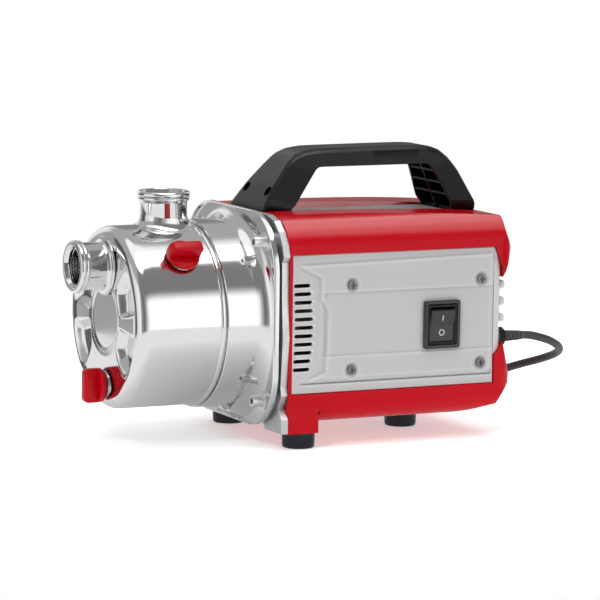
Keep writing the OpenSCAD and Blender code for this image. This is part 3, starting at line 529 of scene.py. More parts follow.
def make_tie():
    """Flat strap round the bundle, with its small buckle."""
    centres = [(OUTER_TURN, LOW_Z), (33.4, LOW_Z), (36.9, HIGH_Z), (44.1, HIGH_Z)]
    angle = math.radians(TIE_ANGLE)
    radial = Vector((math.cos(angle), math.sin(angle), 0.0))
    along = Vector((-math.sin(angle), math.cos(angle), 0.0))
    centre = Vector((*COIL_CENTRE, 0.0))
    rows = []
    steps = 72
    for i in range(steps):
        turn = 2 * math.pi * i / steps
        c, s = math.cos(turn), math.sin(turn)
        r, z = max(centres, key=lambda p: p[0] * c + p[1] * s)
        rows.append([centre + radial * (r + grow * c) + along * side + Vector((0.0, 0.0, z + grow * s))
                     for grow, side in STRAP])
    strap = build("strap", *grid(rows, wrap_rows=True, wrap_cols=True))
    place = lambda u, v, h: centre + radial * (51.6 + h) + along * u + Vector((0.0, 0.0, v))
    buckle = extruded("buckle", rounded_outline(0.0, 5.0, 8.4, 6.0, 1.0), place, 0.0, 1.9)
    bevel(buckle, 0.4, 2)
    tie = joined("cable_tie", strap, buckle)
    return finish_piece(tie, "gland_plastic", "pump")


# Distance of a pin from the plug's axis
PIN_SIDE = 9.5


def make_mains_plug():
    """Moulded earthed plug with two round pins, lying on its side."""
    place = along_x(*PLUG_ENTRY)
    profile = [(3.6, 0.0), (5.4, 0.0)] + arc(4.9, 1.0, 1.0, -30.0, 60.0, 4)
    for i in range(4):
        base = 2.6 + 2.6 * i
        r = 5.6 + 0.75 * i
        profile += [(r - 0.7, base), (r + 0.4, base + 0.5), (r + 0.5, base + 1.5), (r - 0.5, base + 2.0)]
    profile += [(9.0, 13.4), (12.5, 15.6), (15.4, 18.6), (17.0, 21.4), (17.7, 23.4), (17.8, 25.0)]
    for i in range(3):
        base = 3.2 * i
        profile += [(17.8, 26.4 + base), (17.2, 27.0 + base), (17.2, 28.0 + base), (17.8, 28.6 + base)]
    profile += [(17.8, 36.6), (17.3, 37.6), (16.4, 38.0), (15.6, 38.0), (15.4, 37.2)]
    profile += [(0.1, 37.2), (0.1, 6.0), (3.6, 6.0)]
    body = turned("plug_body", profile, place, steps=72)
    pins = []
    pin = [(0.1, 36.0), (2.4, 36.0), (2.4, 55.6)] + arc(1.4, 55.9, 1.0, 0.0, 90.0, 4) + [(0.1, 56.9)]
    x, y, z = PLUG_ENTRY
    for side in (-PIN_SIDE, PIN_SIDE):
        pins.append(turned("pin", pin, along_x(x, y + side, z), steps=32))
    plug = finish_piece(joined("mains_plug_body", body), "cable_rubber", "pump", "mains_plug", angle=30.0)
    pair = finish_piece(joined("mains_plug_pins", *pins), "zinc_steel", "pump", angle=40.0)
    return plug, pair


NUT_FACE_X = 187.0


def make_strain_relief():
    """Tapered ribbed sleeve where the cable leaves the nut."""
    place = lambda a, b, h: (NUT_FACE_X + h, CABLE_EXIT[1] + a, CABLE_EXIT[2] + b)
    profile = [(3.55, 0.0), (5.0, 0.0)]
    for i in range(6):
        low = 1.0 + 2.7 * i
        r = 5.0 - 0.055 * low
        profile += [(r, low), (r, low + 1.5), (r - 0.7, low + 1.8), (r - 0.7, low + 2.4)]
    profile += [(4.0, 17.4), (3.9, 18.6), (3.7, 19.0), (3.55, 19.0)]
    sleeve = turned("cable_sleeve", profile, place, steps=48)
    finish_piece(sleeve, "cable_rubber", "pump", "strain_relief", angle=40.0)


cable = make_cable()
tie = make_tie()
plug_body, plug_pins = make_mains_plug()
make_strain_relief()

# ---- Pump casing ----

FACE_X = -158.0
CAN_R = 77.0
# Middle and half width of the pockets in degrees from the sides, the same on both sides
POCKETS = ((26.0, 19.5), (-28.0, 18.5))
POCKET_DEPTH = 7.5
BEAD_X = -82.0


def face_depth(r, angle):
    """How far the pressed front face lies behind its plane at a radius and an angle from -Y upwards."""
    depth = 1.5 * (1.0 - smooth(r, 26.0, 29.0)) + 0.7 * math.exp(-((r - 29.5) / 1.3) ** 2)
    depth += 1.2 * (r / 64.0) ** 2 * (1.0 - smooth(r, 60.0, 67.0))
    side = abs(r * math.cos(math.radians(angle)))
    folded = angle if abs(angle) <= 90.0 else math.copysign(180.0, angle) - angle
    for centre, half in POCKETS:
        width = 1.0 - smooth(abs(folded - centre), half - 8.5, half + 2.5)
        inner = smooth(side, 25.5, 33.5) * smooth(r, 30.0, 37.0)
        outer = 1.0 - smooth(r, 59.0, 67.5)
        floor = POCKET_DEPTH * (1.0 - 0.3 * smooth(r, 44.0, 64.0))
        depth += floor * width * inner * outer
    return depth


def make_can():
    """Deep-drawn can: pressed face, rounded shoulder, barrel and the seam bead at its rear."""
    fillet, thick, bead_r = 10.0, 1.5, 1.6
    steps = 400
    angles = [360.0 * k / steps - 180.0 for k in range(steps)]
    turns = [(-math.cos(math.radians(a)), math.sin(math.radians(a))) for a in angles]
    rows = [[(FACE_X + face_depth(r, a), r * c, SHAFT_Z + r * s) for a, (c, s) in zip(angles, turns)]
            for r in [0.05] + [1.0 + i for i in range(67)]]
    profile = [(x, r) for r, x in arc(CAN_R - fillet, FACE_X + fillet, fillet, -90.0, 0.0, 12)][1:]
    profile += [(x, CAN_R) for x in (-140.0, -125.0, -110.0, -96.0, -86.0, -84.2)]
    profile += [(BEAD_X - 2.2 * math.cos(math.pi * i / 10), CAN_R + bead_r * math.sin(math.pi * i / 10))
                for i in range(1, 10)]
    profile += [(-79.8, CAN_R), (-77.0, CAN_R), (-74.0, CAN_R)]
    rows += [[(x, r * c, SHAFT_Z + r * s) for c, s in turns] for x, r in profile]
    points, faces = grid(rows, wrap_cols=True)
    faces.append(tuple(range(steps)))
    can = build("casing_shell", points, faces, merge=0.001)
    solidify(can, thick)
    finish_piece(can, "polished_steel", "pump", "casing_can", angle=50.0)


PORT_R, PORT_LIP_R = 20.0, 22.4
# Bore, thread root and crest of a G1 pipe thread, and its pitch
PORT_BORE_R, ROOT_R, CREST_R, PITCH = 16.7, 16.6, 15.2, 2.309
SUCTION_RISE, DISCHARGE_X, DISCHARGE_TOP = 44.0, -104.0, 213.5


def port_profile(length):
    """Section of a port: its tube, two rolled beads at the lip and its bore."""
    outer = [(PORT_R, 0.0), (PORT_R, length - 9.6), (PORT_R + 0.4, length - 8.8)]
    outer += arc(PORT_LIP_R - 2.4, length - 6.2, 2.0, -60.0, 70.0, 8)
    outer += arc(PORT_LIP_R - 2.6, length - 2.6, 2.6, -35.0, 90.0, 10)
    outer += arc(18.7, length - 1.2, 1.2, 90.0, 160.0, 5)
    return outer + [(15.9, length - 3.6), (PORT_BORE_R, length - 4.2), (PORT_BORE_R, 0.0)]


def make_thread(name, place, length):
    """Female pipe thread: a helical ridge inside a bore, its foot sunk into the wall."""
    ridge = ((ROOT_R + 0.5, 0.05), (ROOT_R, 0.25), (CREST_R, 0.95), (CREST_R, 1.35), (ROOT_R, 2.05),
             (ROOT_R + 0.5, 2.25))
    per_turn = 48
    turns = int((length - 6.0) / PITCH)
    rows = []
    for i in range(turns * per_turn + 1):
        a = 2 * math.pi * i / per_turn
        low = PITCH * i / per_turn + 2.0
        rows.append([place(r * math.cos(a), r * math.sin(a), low + h) for r, h in ridge])
    return build(name, *grid(rows), merge=0.001)


def make_flare():
    """Foot of the discharge port, a sheet drawn from the barrel's curve to the tube."""
    steps, layers, foot_r = 128, 14, 26.0
    rows = []
    for i in range(layers + 1):
        t = i / layers
        r = foot_r - 6.0 * smooth(t, 0.0, 1.0) ** 0.75
        lift = 0.25 + 9.0 * t ** 2.2
        row = []
        for k in range(steps):
            a = 2 * math.pi * k / steps
            y = r * math.sin(a)
            saddle = math.sqrt(CAN_R ** 2 - min(abs(y), foot_r) ** 2)
            row.append((DISCHARGE_X + r * math.cos(a), y, SHAFT_Z + saddle + lift))
        rows.append(row)
    flare = build("discharge_flare", *grid(rows, wrap_cols=True))
    solidify(flare, 0.8)
    return flare


def make_suction_port():
    """Tube on the front face, with the collar of its weld."""
    length = 39.5
    place = along_x(-147.5, 0.0, SHAFT_Z + SUCTION_RISE)
    body = turned("suction_body", port_profile(length), place)
    collar = [(19.9, 10.2), (25.0, 10.3)] + arc(24.0, 11.2, 1.0, -90.0, 60.0, 6) \
        + [(22.8, 12.1), (21.4, 12.8), (20.5, 14.0), (19.95, 15.8)]
    ring = turned("suction_collar", collar, place)
    port = joined("suction_port_tube", body, ring, make_thread("suction_thread", place, length))
    finish_piece(port, "polished_steel", "pump", "suction_port", angle=40.0)


def make_discharge_port():
    """Tube on top of the barrel, with its flared foot."""
    low = SHAFT_Z + 72.0
    length = DISCHARGE_TOP - low
    place = along_z(DISCHARGE_X, 0.0, low)
    body = turned("discharge_body", port_profile(length), place)
    flare = make_flare()
    port = joined("discharge_port_tube", body, flare, make_thread("discharge_thread", place, length))
    finish_piece(port, "polished_steel", "pump", "discharge_port", angle=40.0)


def flange_reach(angle, half=91.0, corner=50.0):
    """Distance from the shaft to the rounded square's edge, at an angle in radians."""
    c, s = abs(math.cos(angle)), abs(math.sin(angle))
    if c < 1e-6 or s < 1e-6:
        return half
    flat = half - corner
    for reach, other in ((half / c, half / c * s), (half / s, half / s * c)):
        if other <= flat:
            return reach
    mid = flat * (c + s)
    return mid + math.sqrt(mid * mid - 2 * flat * flat + corner * corner)


def make_ring():
    """Lapped steel ring, flaring out to the squared flange with its rolled rim."""
    steps, count = 360, 12
    flare, flare_r = 13.0, 93.0
    columns = []
    for k in range(steps):
        a = 2 * math.pi * k / steps
        reach = flange_reach(a)
        bend_end = min(flare_r, reach - 3.4)
        profile = [(77.2, -79.3), (79.2, -79.3), (79.9, -78.6), (80.0, -53.4)]
        stop = math.degrees(math.acos(max(-1.0, min(1.0, (flare_r - bend_end) / flare))))
        for i in range(count + 1):
            t = math.radians(stop * (i + 0.5) / (count + 0.5))
            profile.append((flare_r - flare * math.cos(t), -53.0 + flare * math.sin(t)))
        foot_x = profile[-1][1]
        profile += [(reach - 2.4, min(foot_x + 0.3, -40.0)), (reach - 1.9, -41.2), (reach - 1.7, -42.5),
                    (reach - 1.1, -43.0), (reach - 0.5, -42.7), (reach, -42.0), (reach, -38.3)]
        profile += [(reach - 0.3, -38.0), (83.0, -38.0), (77.4, -50.0)]
        columns.append([(x, r * math.cos(a), SHAFT_Z + r * math.sin(a)) for r, x in profile])
    rows = list(zip(*columns))
    ring = build("casing_flange_ring", *grid(rows, wrap_rows=True, wrap_cols=True), merge=0.0005)
    finish_piece(ring, "polished_steel", "pump", "casing_ring", angle=40.0)


# ---- Screw plugs ----


# Seat of the fill plug on its axis, which leans 45 degrees to the near side
FILL_X, FILL_SEAT = -111.0, 77.3
DRAIN_SEAT_X, DRAIN_Z = -158.3, 51.0
# Flange of a plug: radius, underside and top. Wing: top and half thickness
PLUG_R, FLANGE_LOW, FLANGE_HIGH = 14.3, 1.7, 6.1
WING_TOP, WING_HALF = 17.9, 4.0
# Shank of a plug: hollow, root and crest of its thread rings, and their pitch
HOLLOW_R, SHANK_R, RING_R, RING_PITCH = 6.5, 8.4, 9.45, 2.0


def on_fill(a, b, h):
    c = math.sqrt(0.5)
    return (FILL_X + a, (b - h - FILL_SEAT) * c, SHAFT_Z + (b + h + FILL_SEAT) * c)


def on_drain(a, b, h):
    return (DRAIN_SEAT_X - h, b, DRAIN_Z + a)


def make_plug(name, place, body, node):
    """Screw plug: flange, wing and a shank with rings for its thread."""
    profile = [(0.5, FLANGE_LOW), (9.0, FLANGE_LOW), (PLUG_R - 0.9, FLANGE_LOW)]
    profile += arc(PLUG_R - 0.9, FLANGE_LOW + 0.9, 0.9, -90, 0, 4)
    profile += arc(PLUG_R - 1.2, FLANGE_HIGH - 1.2, 1.2, 0, 90, 4)
    profile += [(9.0, FLANGE_HIGH + 0.2), (0.5, FLANGE_HIGH + 0.2)]
    disc = turned(name + "_disc", profile, place, steps=72)
    outline = [(-PLUG_R, FLANGE_LOW + 1.5), (PLUG_R, FLANGE_LOW + 1.5)]
    outline += arc(PLUG_R - 4.0, WING_TOP - 4.0, 4.0, 0, 90, 8)
    outline += arc(-PLUG_R + 4.0, WING_TOP - 4.0, 4.0, 90, 180, 8)
    wing = extruded(name + "_wing", outline, lambda u, v, w: place(u, w, v), -WING_HALF, WING_HALF)
    bevel(wing, 1.1, 4)
    shank = [(HOLLOW_R, -9.4), (SHANK_R, -9.4)]
    for i in range(4):
        base = RING_PITCH * i
        shank += [(SHANK_R, -8.8 + base), (RING_R, -8.2 + base), (RING_R, -7.9 + base)]
        shank += [(SHANK_R, -7.3 + base)]
    shank += [(SHANK_R, FLANGE_LOW + 0.3), (HOLLOW_R, FLANGE_LOW + 0.3)]
    screw = turned(name + "_screw", shank, place, steps=64)
    plug = joined(name + "_knob", disc, wing, screw)
    finish_piece(plug, "red_knob", body, node, angle=40.0)


# ---- Handle ----

# Side view of the handle as (x, z), outer and inner line point by point, and its half width by height
HANDLE_OUTER = (
    (-26.0, 190.6), (-26.0, 198.0), (-14.0, 216.0), (-2.0, 230.2), (4.5, 237.2), (9.0, 241.0), (17.0, 244.4),
    (32.0, 246.4), (78.0, 246.8), (124.0, 246.9), (138.0, 246.0), (148.0, 242.5), (156.0, 235.5),
    (163.5, 225.0), (172.0, 207.0), (179.0, 192.0), (179.0, 188.7))
HANDLE_INNER = (
    (-1.5, 190.6), (-1.5, 194.0), (13.0, 211.5), (24.5, 225.4), (28.0, 229.3), (31.0, 231.0), (36.0, 231.2),
    (44.0, 231.2), (82.0, 231.2), (121.0, 231.2), (130.0, 231.2), (135.0, 230.8), (138.6, 228.2),
    (142.5, 220.5), (148.5, 207.5), (155.5, 192.0), (156.0, 188.7))
HANDLE_WIDTH = ((188.5, 25.6), (197.5, 34.3), (234.0, 22.0), (242.0, 21.0), (248.0, 20.6))


def handle_half(z):
    """Half width of the handle at a height."""
    for (z0, w0), (z1, w1) in zip(HANDLE_WIDTH, HANDLE_WIDTH[1:]):
        if z <= z1:
            return w0 + (w1 - w0) * (z - z0) / (z1 - z0)
    return HANDLE_WIDTH[-1][1]


def path_at(points, t):
    """Point at parameter t along a path, with its corners slightly eased."""
    i = min(int(t), len(points) - 2)
    f = t - i
    a = Vector(points[max(i - 1, 0)])
    b, c = Vector(points[i]), Vector(points[i + 1])
    d = Vector(points[min(i + 2, len(points) - 1)])
    ease = 0.2
    m0, m1 = (c - a) * ease, (d - b) * ease
    return ((2 * f ** 3 - 3 * f ** 2 + 1) * b + (f ** 3 - 2 * f ** 2 + f) * m0
            + (-2 * f ** 3 + 3 * f ** 2) * c + (f ** 3 - f ** 2) * m1)


def handle_section(t):
    """Section across the handle: a channel that is open on its inner side."""
    outer, inner = path_at(HANDLE_OUTER, t), path_at(HANDLE_INNER, t)
    depth = outer - inner
    wo, wi = handle_half(outer[1]), handle_half(inner[1])
    bar = smooth(outer[1], 232.0, 245.0)
    drop = 1.3 + 3.4 * bar
    side = 1.3 + 2.0 * bar
    wall, skin = 3.0, 3.8
    length = depth.length
    half = [(wi - wall, 0.0), (wi - 0.5, 0.0), (wi, 0.5)]
    for v, w in ((length - drop, 0.0), (length - 0.7 * drop, -0.25 * side),
                 (length - 0.3 * drop, -0.7 * side), (length, -1.25 * side), (length, -side - 3.0)):
        half.append((wi + (wo - wi) * (v / length) + w, v))
    back = [(wo - side - 5.0, length - skin), (wo + (wi - wo) * 0.25 - wall - 0.6, length - skin),
            (wi + (wo - wi) * 0.55 - wall, length * 0.55), (wi - wall, 0.0)]
    loop = [(-w, v) for w, v in half] + [(w, v) for w, v in reversed(half)]
    hollow = [(w, v) for w, v in reversed(back)][1:] + [(-w, v) for w, v in back][:-1]
    unit = depth / length
    return [(inner[0] + unit[0] * v, w, inner[1] + unit[1] * v) for w, v in loop + hollow]


HANDLE_RIBS = (204.0, 214.0, 224.0)
HANDLE_WEBS = (((156.6, 189.0), (177.5, 189.0), (160.0, 223.0), (150.0, 236.0), (139.5, 229.0)),
               ((-23.5, 191.0), (-2.3, 191.0), (-2.3, 194.5), (26.5, 229.3), (14.0, 239.5), (-14.0, 210.0)))
# Soles of the legs, as (front, rear, underside)
HANDLE_SOLES = ((-25.2, -2.2, 190.7), (156.8, 178.3, 188.8))
HOLE_SIDE, HOLE_LEAN = 21.0, math.radians(56.0)


def handle_holes():
    """Cutters for the two screw holes in the front leg."""
    axis = Vector((-math.sin(HOLE_LEAN), 0.0, math.cos(HOLE_LEAN)))
    across = Vector((math.cos(HOLE_LEAN), 0.0, math.sin(HOLE_LEAN)))
    holes = []
    for side in (-HOLE_SIDE, HOLE_SIDE):
        base = Vector((-12.0, side, 208.7))
        place = lambda a, b, h: base + across * a + Vector((0.0, b, 0.0)) + axis * h
        holes.append(drill(4.6, 20.0, place))
    return holes


def box_plate(name, x0, x1, half, low, high):
    """Flat plate across the handle."""
    outline = [(x0, -half), (x1, -half), (x1, half), (x0, half)]
    return extruded(name, outline, lambda u, v, h: (u, v, h), low, high)


def make_handle():
    """Carrying handle: a channel with screw holes, and with ribs, webs and soles in its two legs."""
    rows = [handle_section(i / 6) for i in range((len(HANDLE_OUTER) - 1) * 6 + 1)]
    points, faces = grid(rows, wrap_cols=True)
    width = len(rows[0])
    faces.append(tuple(range(width)))
    faces.append(tuple(range(len(points) - width, len(points))))
    shell = build("handle_shell", points, faces)
    cut(shell, *handle_holes())
    parts = [shell]
    for z in HANDLE_RIBS:
        rear = (156.0 - (z - 188.7) * 0.445 + 0.8, 179.0 - (z - 192.0) * 0.467 - 3.0)
        front = (-26.0 + (z - 198.0) * 0.667 + 3.4, -1.5 + (z - 194.0) * 0.829 - 0.8)
        for low, high in (rear, front):
            parts.append(box_plate("rib", low, high, handle_half(z) - 3.2, z, z + 1.8))
    for corners in HANDLE_WEBS:
        parts.append(extruded("web", corners, lambda u, v, h: (u, h, v), -0.9, 0.9))
    for x0, x1, z0 in HANDLE_SOLES:
        parts.append(box_plate("sole", x0, x1, 25.0, z0, z0 + 4.0))
    handle = joined("carrying_handle", *parts)
    finish_piece(handle, "black_plastic", "pump", "handle", angle=28.0)


# ---- Side panels and switch ----

PANEL_X0, PANEL_X1, PANEL_Z0, PANEL_Z1 = -25.5, 165.6, 48.1, 164.9
PANEL_SCREWS = [(x, z) for x in (30.0, 153.0) for z in (66.0, 138.0)]
PANEL_FACE, PANEL_BACK = 89.4, 86.6
SLOTS, SLOT_Z, SLOT_PITCH = 11, 68.5, 7.07
SWITCH_X, SWITCH_Z = 114.5, 101.0
# Outline of the raised field
FIELD = ((-22.5, 156.6), (0.2, 144.6), (0.8, 126.0), (4.0, 121.8), (7.3, 116.5), (6.3, 84.0), (4.6, 66.0),
         (-20.8, 55.4), (164.6, 55.4), (164.6, 160.3))


def inside(x, z, outline):
    """Signed distance to an outline: positive inside."""
    best, within = 1e9, False
    for (x0, z0), (x1, z1) in zip(outline, outline[1:] + outline[:1]):
        ex, ez = x1 - x0, z1 - z0
        t = min(1.0, max(0.0, ((x - x0) * ex + (z - z0) * ez) / (ex * ex + ez * ez)))
        best = min(best, math.hypot(x - x0 - t * ex, z - z0 - t * ez))
        if (z0 > z) != (z1 > z) and x < x0 + (z - z0) / (z1 - z0) * ex:
            within = not within
    return best if within else -best


def panel_height(x, z):
    """How far the panel's face stands out of its mounting plane."""
    rise = 1.2 * smooth(inside(x, z, FIELD), 0.0, 1.8)
    # The middle band is slightly lower than the strips above and below it
    band = smooth(z, 77.8, 79.0) * (1.0 - smooth(z, 131.6, 132.8)) * smooth(x, 2.0, 5.0)
    rise -= 0.7 * band
    # Slanted lower facet, ending in a groove above the panel's frame
    facet = min(1.0, max(0.0, (61.0 - z) / 5.4))
    rise -= 2.1 * facet * smooth(inside(x, z, FIELD), 0.0, 0.8) * smooth(x, -24.0, -10.0)
    for sx, sz in PANEL_SCREWS:
        d = math.hypot(x - sx, z - sz)
        rise -= 0.9 * (1.0 - smooth(d, 4.6, 7.6))
    return rise


def panel_lines(low, high, step):
    """Grid lines from low to high, with one more close to each end."""
    count = round((high - low) / step)
    values = [low + (high - low) * i / count for i in range(count + 1)] + [low + 0.5, high - 0.5]
    return sorted(set(round(v, 3) for v in values))


def panel_cutters(side, with_switch):
    """Cutters for the slots, the screw holes and the switch's window."""
    outwards = lambda u, v, h: (u, side * h, v)
    cutters = []
    for i in range(SLOTS):
        z = SLOT_Z + SLOT_PITCH * i
        swell = 3.0 * math.sin(math.pi * i / 10)
        left, right = -23.6 + 0.3 * swell, -9.0 + swell
        outline = arc(right - 1.2, z, 1.7, -90, 90, 6) + arc(left + 1.2, z, 1.7, 90, 270, 6)
        cutters.append(extruded("slot", outline, outwards, 80.0, 95.0))
    for x, z in PANEL_SCREWS:
        cutters.append(drill(3.0, 12.0, lambda a, b, h: (x + a, side * (84.0 + h), z + b)))
    if with_switch:
        window = [(100.3, 83.8), (128.7, 83.8), (128.7, 118.2), (100.3, 118.2)]
        cutters.append(extruded("window", window, outwards, 80.0, 95.0))
    return cutters


def make_panel(name, side, node, with_switch):
    """Side panel: a face with relief, closed by a rim and a flat back."""
    xs = panel_lines(PANEL_X0, PANEL_X1, 1.6)
    zs = panel_lines(PANEL_Z0, PANEL_Z1, 1.0)
    rows = []
    for z in zs:
        row = []
        for x in xs:
            edge = min(x - PANEL_X0, PANEL_X1 - x, z - PANEL_Z0, PANEL_Z1 - z)
            y = PANEL_FACE + panel_height(x, z) - 0.5 * (1.0 - smooth(edge, 0.0, 0.5))
            row.append((x, side * y, z))
        rows.append(row)
    points, faces = grid(rows)
    front, wide, tall = len(points), len(xs), len(zs)
    rim = list(range(wide)) + [i * wide + wide - 1 for i in range(1, tall)]
    rim += [(tall - 1) * wide + k for k in range(wide - 2, -1, -1)]
    rim += [i * wide for i in range(tall - 2, 0, -1)]
    points += [(points[k][0], side * PANEL_BACK, points[k][2]) for k in rim]
    count = len(rim)
    faces += [(rim[k], rim[(k + 1) % count], front + (k + 1) % count, front + k) for k in range(count)]
    faces.append(tuple(range(front, front + count)))
    panel = build(name, points, faces)
    cut(panel, *panel_cutters(side, with_switch))
    finish_piece(panel, "grey_plastic", "pump", node, angle=25.0)


# Section of the switch frame, as (distance from the middle plane, growth)
BEZEL = ((90.5, 0.0), (93.2, 0.0), (93.8, -0.6), (94.0, -1.4), (93.9, -2.6), (93.0, -3.2), (90.7, -3.3))
BEZEL_W, BEZEL_H = 34.0, 41.0


def bezel_bulge(x, z, swell):
    return swell * smooth(x, 125.0, 131.0) * math.cos((z - SWITCH_Z) / BEZEL_H * math.pi)


def make_bezel():
    """Frame of the switch, bulging a little on its rear side."""
    rows = []
    for y, grow in BEZEL:
        corner, swell = (2.0, 0.7) if grow > -2.0 else (1.2, 0.0)
        base = rounded_outline(SWITCH_X, SWITCH_Z, BEZEL_W + 2 * grow, BEZEL_H + 2 * grow, corner)
        rows.append([(x + bezel_bulge(x, z, swell), -y, z) for x, z in base])
    bezel = build("switch_frame", *grid(rows, wrap_rows=True, wrap_cols=True))
    finish_piece(bezel, "rocker_plastic", "pump", "switch_bezel", angle=40.0)


# The rocker's tilt when off, the slope of its two faces, its pivot and the reach of its faces
ROCKER_TILT, ROCKER_SLOPE = math.radians(8.0), math.radians(7.65)
PIVOT_Y, ROCKER_REACH = -86.0, 6.2


def on_rocker(u, v, h):
    """Point at height h on the rocker's faces, at rest."""
    rise = (-ROCKER_REACH - abs(v) * math.tan(ROCKER_SLOPE)) - h
    y = rise * math.cos(ROCKER_TILT) - v * math.sin(ROCKER_TILT)
    z = rise * math.sin(ROCKER_TILT) + v * math.cos(ROCKER_TILT)
    return (SWITCH_X + u, PIVOT_Y + y, SWITCH_Z + z)


def make_rocker_marks():
    """Generic on and off marks, slightly raised on the rocker."""
    on_mark = extruded("on", rounded_outline(0.0, 6.8, 0.9, 4.6, 0.3), on_rocker, 0.02, 0.2)
    section = ((1.9, 0.02), (2.0, 0.2), (2.6, 0.2), (2.7, 0.02))
    angles = [2 * math.pi * k / 48 for k in range(48)]
    ring = [[on_rocker(r * math.cos(a), -6.0 + r * math.sin(a), h) for r, h in section] for a in angles]
    off_mark = build("off", *grid(ring, wrap_rows=True, wrap_cols=True))
    marks = joined("rocker_marks", on_mark, off_mark)
    finish_piece(marks, "capacitor_plastic", "rocker", angle=30.0)


# ---- Rubber feet ----

FEET = (("foot_right", -9.0, -70.0, "foot_front_right"), ("foot_left", -9.0, 70.0, "foot_front_left"),
        ("foot_back", 124.0, 0.0, "foot_rear"))


def make_foot(name, x, y, node):
    """Moulded foot: rounded rims, slightly tapered, with the recess of its screw."""
    profile = [(4.2, 3.2), (6.2, 3.2), (6.2, 0.9)] + arc(7.2, 0.9, 0.9, 180.0, 270.0, 3)
    profile += [(10.4, 0.0)] + arc(12.2, 1.4, 1.4, -90.0, 0.0, 5)
    profile += [(13.75, 2.6), (13.85, 5.0), (13.9, 8.0), (13.95, 10.0), (14.0, 11.0)]
    profile += arc(13.1, 13.0, 0.9, 0.0, 90.0, 4) + [(9.0, 13.9), (3.0, 13.9), (3.0, 8.0), (3.0, 3.2)]
    foot = turned(name, profile, along_z(x, y, 0.0))
    finish_piece(foot, "foot_rubber", "pump", node)


# ---- Rear vent ----

BARS, BAR_Z, BAR_PITCH, BAR_END = 4, 87.4, 14.4, 78.6


def make_vent_bars():
    """Rounded bars standing out of the rear cover; the lowest is short, beside the cable gland."""
    bars = []
    for i in range(BARS):
        z = BAR_Z + BAR_PITCH * i
        low = -53.0 if i == 0 else -BAR_END
        outline = rounded_outline((low + BAR_END) / 2, z, BAR_END - low, 7.0, 3.0, 6)
        bar = extruded("bar", outline, lambda u, v, h: (h, u, v), 177.6, 182.4)
        bevel(bar, 1.3, 4)
        bars.append(bar)
    finish_piece(joined("vent_bars", *bars), "grey_plastic", "pump", angle=40.0)


make_can()
make_suction_port()
make_discharge_port()
make_ring()
make_plug("fill_knob", on_fill, "fill_cap", "fill_plug")
make_plug("drain_knob", on_drain, "drain_cap", "drain_plug")
make_handle()
make_panel("panel_right", -1, "side_panel_right", True)
make_panel("panel_left", 1, "side_panel_left", False)
make_bezel()
make_rocker_marks()
for foot in FEET:
    make_foot(*foot)
make_vent_bars()

# ---- Floor and lights ----

FLOOR_RADIUS = 0.72

def floor_disc(name, height, low, high):
    """Round floor whose tone goes from low under the object to high at its edge, as painted shade round the
    object.
    """
    mesh = bmesh.new()
    bmesh.ops.create_circle(mesh, cap_ends=True, segments=256, radius=FLOOR_RADIUS)
    floor = as_object(name, mesh)
    floor.location = (0.04, 0.03, height)
    paint = Paint(name, (high, high, high), 0.7)
    paint.vary_roughness(paint.noise(3.0), 0.05)
    reach = paint.node("ShaderNodeVectorMath", operation="LENGTH")
    paint.link(paint.coords, reach.inputs[0])
    # Painted shade: darker near the object, lighter towards the edge
    paint.vary_color(reach.outputs["Value"], (low, low, low), (high, high, high), 0.12, 0.29)
    floor.data.materials.append(paint.material)
    return floor, paint


def make_floor():
    """A white floor that the camera sees, and a greyer one for what the polished steel mirrors, with painted
    shade under the object.
    """
    white, paint = floor_disc("floor", -0.0003, 0.93, 0.94)
    socket(paint.shader, "Emission Color", (1.0, 1.0, 1.0, 1.0))
    socket(paint.shader, "Emission Strength", 0.45)
    white.visible_glossy = False
    # Painted shade in reflections: grey, and darkest under the object
    mirrored = floor_disc("floor_mirrored", -0.0006, 0.4, 0.95)[0]
    mirrored.visible_camera = False
    mirrored.visible_diffuse = False
    mirrored.visible_shadow = False


def area_light(name, energy, size, place, target):
    """Area light at a place, turned to its target."""
    data = bpy.data.lights.new(name, "AREA")
    data.energy = energy
    data.size = size
    light = bpy.data.objects.new(name, data)
    light.location = place
    light.rotation_euler = (Vector(target) - light.location).to_track_quat("-Z", "Y").to_euler()
    bpy.context.scene.collection.objects.link(light)
    return light


def key_light():
    """Soft directed light from the upper left, which shapes the matt parts."""
    light = area_light("key", 13.0, 0.5, (-1.3, -1.2, 1.5), (0.05, 0.0, 0.1))
    light.visible_glossy = False


# Brightness round the horizon, as (turn, value): 0 and 1 are behind the object, 0.5 is straight in front
HORIZON = ((0.0, 1.0), (0.03, 1.0), (0.055, 0.42), (0.085, 0.42), (0.10, 0.12), (0.15, 0.10), (0.19, 0.9),
           (0.29, 1.15), (0.33, 0.35), (0.40, 0.18), (0.45, 0.5), (0.52, 1.2), (0.58, 1.45), (0.64, 1.0),
           (0.68, 0.22), (0.76, 0.16), (0.81, 0.7), (0.86, 0.9), (0.90, 0.14), (0.945, 0.3), (0.97, 1.0),
           (1.0, 1.0))
# Above the horizon: the grey of the walls, then the softboxes overhead
FRONT_GREY, BACK_GREY = 0.25, 0.48
FRONT_SOFTBOX, BACK_SOFTBOX = 5.6, 1.2


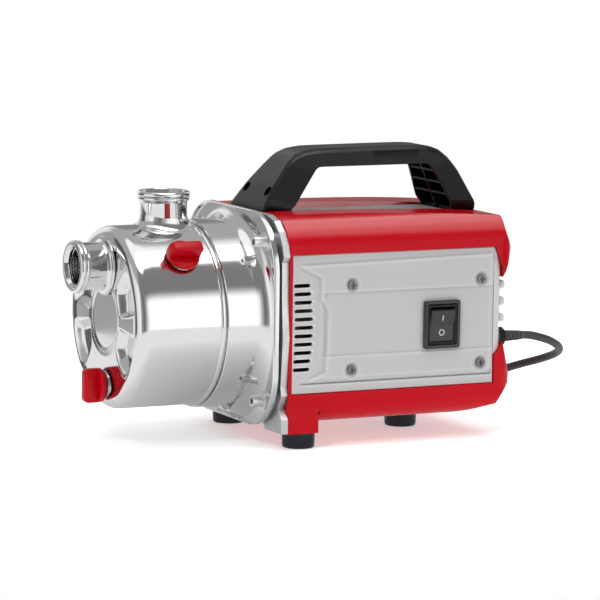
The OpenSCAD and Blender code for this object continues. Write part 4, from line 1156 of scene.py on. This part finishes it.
class Sky:
    """Nodes of the world shader."""

    def __init__(self):
        world = bpy.data.worlds.new("studio")
        world.use_nodes = True
        self.tree = world.node_tree
        self.background = self.tree.nodes["Background"]
        bpy.context.scene.world = world

    def add(self, kind):
        return self.tree.nodes.new(kind)

    def math(self, operation, *values):
        """A math node on sockets or constants."""
        node = self.add("ShaderNodeMath")
        node.operation = operation
        for place, value in zip(node.inputs, values):
            if isinstance(value, (int, float)):
                place.default_value = value
            else:
                self.tree.links.new(value, place)
        return node.outputs["Value"]

    def step(self, value, low, high):
        """Smooth step from 0 at low to 1 at high."""
        node = self.add("ShaderNodeMapRange")
        node.interpolation_type = "SMOOTHSTEP"
        node.inputs["From Min"].default_value = low
        node.inputs["From Max"].default_value = high
        self.tree.links.new(value, node.inputs["Value"])
        return node.outputs["Result"]

    def mix(self, low, high, factor):
        """low where factor is 0, high where it is 1."""
        return self.math("ADD", self.math("MULTIPLY", low, self.math("SUBTRACT", 1.0, factor)),
                         self.math("MULTIPLY", high, factor))


def shell_softbox():
    """Panel overhead that only the red shells mirror, as a pale band along their top edges."""
    light = area_light("shell_softbox", 30.0, 1.6, (0.7, -0.12, 1.45), (0.08, -0.06, 0.18))
    light.data.shape = "RECTANGLE"
    light.data.size_y = 1.0
    light.visible_diffuse = False
    mirrors = bpy.data.collections.new("red_shells")
    for name in RED_SHELLS:
        mirrors.objects.link(nodes[name])
    light.light_linking.receiver_collection = mirrors


def make_sky():
    """Brightness by direction: the horizon's panels, the walls, then the softboxes."""
    sky = Sky()
    coords = sky.add("ShaderNodeTexCoord").outputs["Generated"]
    split = sky.add("ShaderNodeSeparateXYZ")
    sky.tree.links.new(coords, split.inputs["Vector"])
    x, y, z = split.outputs["X"], split.outputs["Y"], split.outputs["Z"]
    azimuth = sky.math("ARCTAN2", x, sky.math("MULTIPLY", y, -1.0))
    turn = sky.math("ADD", sky.math("DIVIDE", azimuth, 2 * math.pi), 0.5)
    ramp = sky.add("ShaderNodeValToRGB")
    ramp.color_ramp.interpolation = "EASE"
    while len(ramp.color_ramp.elements) < len(HORIZON):
        ramp.color_ramp.elements.new(0.5)
    for element, (place, value) in zip(ramp.color_ramp.elements, HORIZON):
        element.position = place
        element.color = (value, value, value, 1.0)
    sky.tree.links.new(turn, ramp.inputs["Fac"])
    nearness = sky.math("ADD", sky.math("MULTIPLY", y, -1.0), sky.math("MULTIPLY", x, 0.3))
    front = sky.step(nearness, 0.02, 0.16)
    light = sky.mix(ramp.outputs["Color"], sky.mix(BACK_GREY, FRONT_GREY, front), sky.step(z, 0.36, 0.58))
    light = sky.mix(light, sky.mix(BACK_SOFTBOX, FRONT_SOFTBOX, front), sky.step(z, 0.86, 0.91))
    # The camera sees plain white beyond the floor's edge
    seen = sky.add("ShaderNodeLightPath").outputs["Is Camera Ray"]
    light = sky.mix(light, 1.0, seen)
    sky.tree.links.new(light, sky.background.inputs["Color"])
    sky.background.inputs["Strength"].default_value = 1.0


make_floor()
key_light()
shell_softbox()
make_sky()
bpy.context.scene.view_settings.view_transform = "Standard"
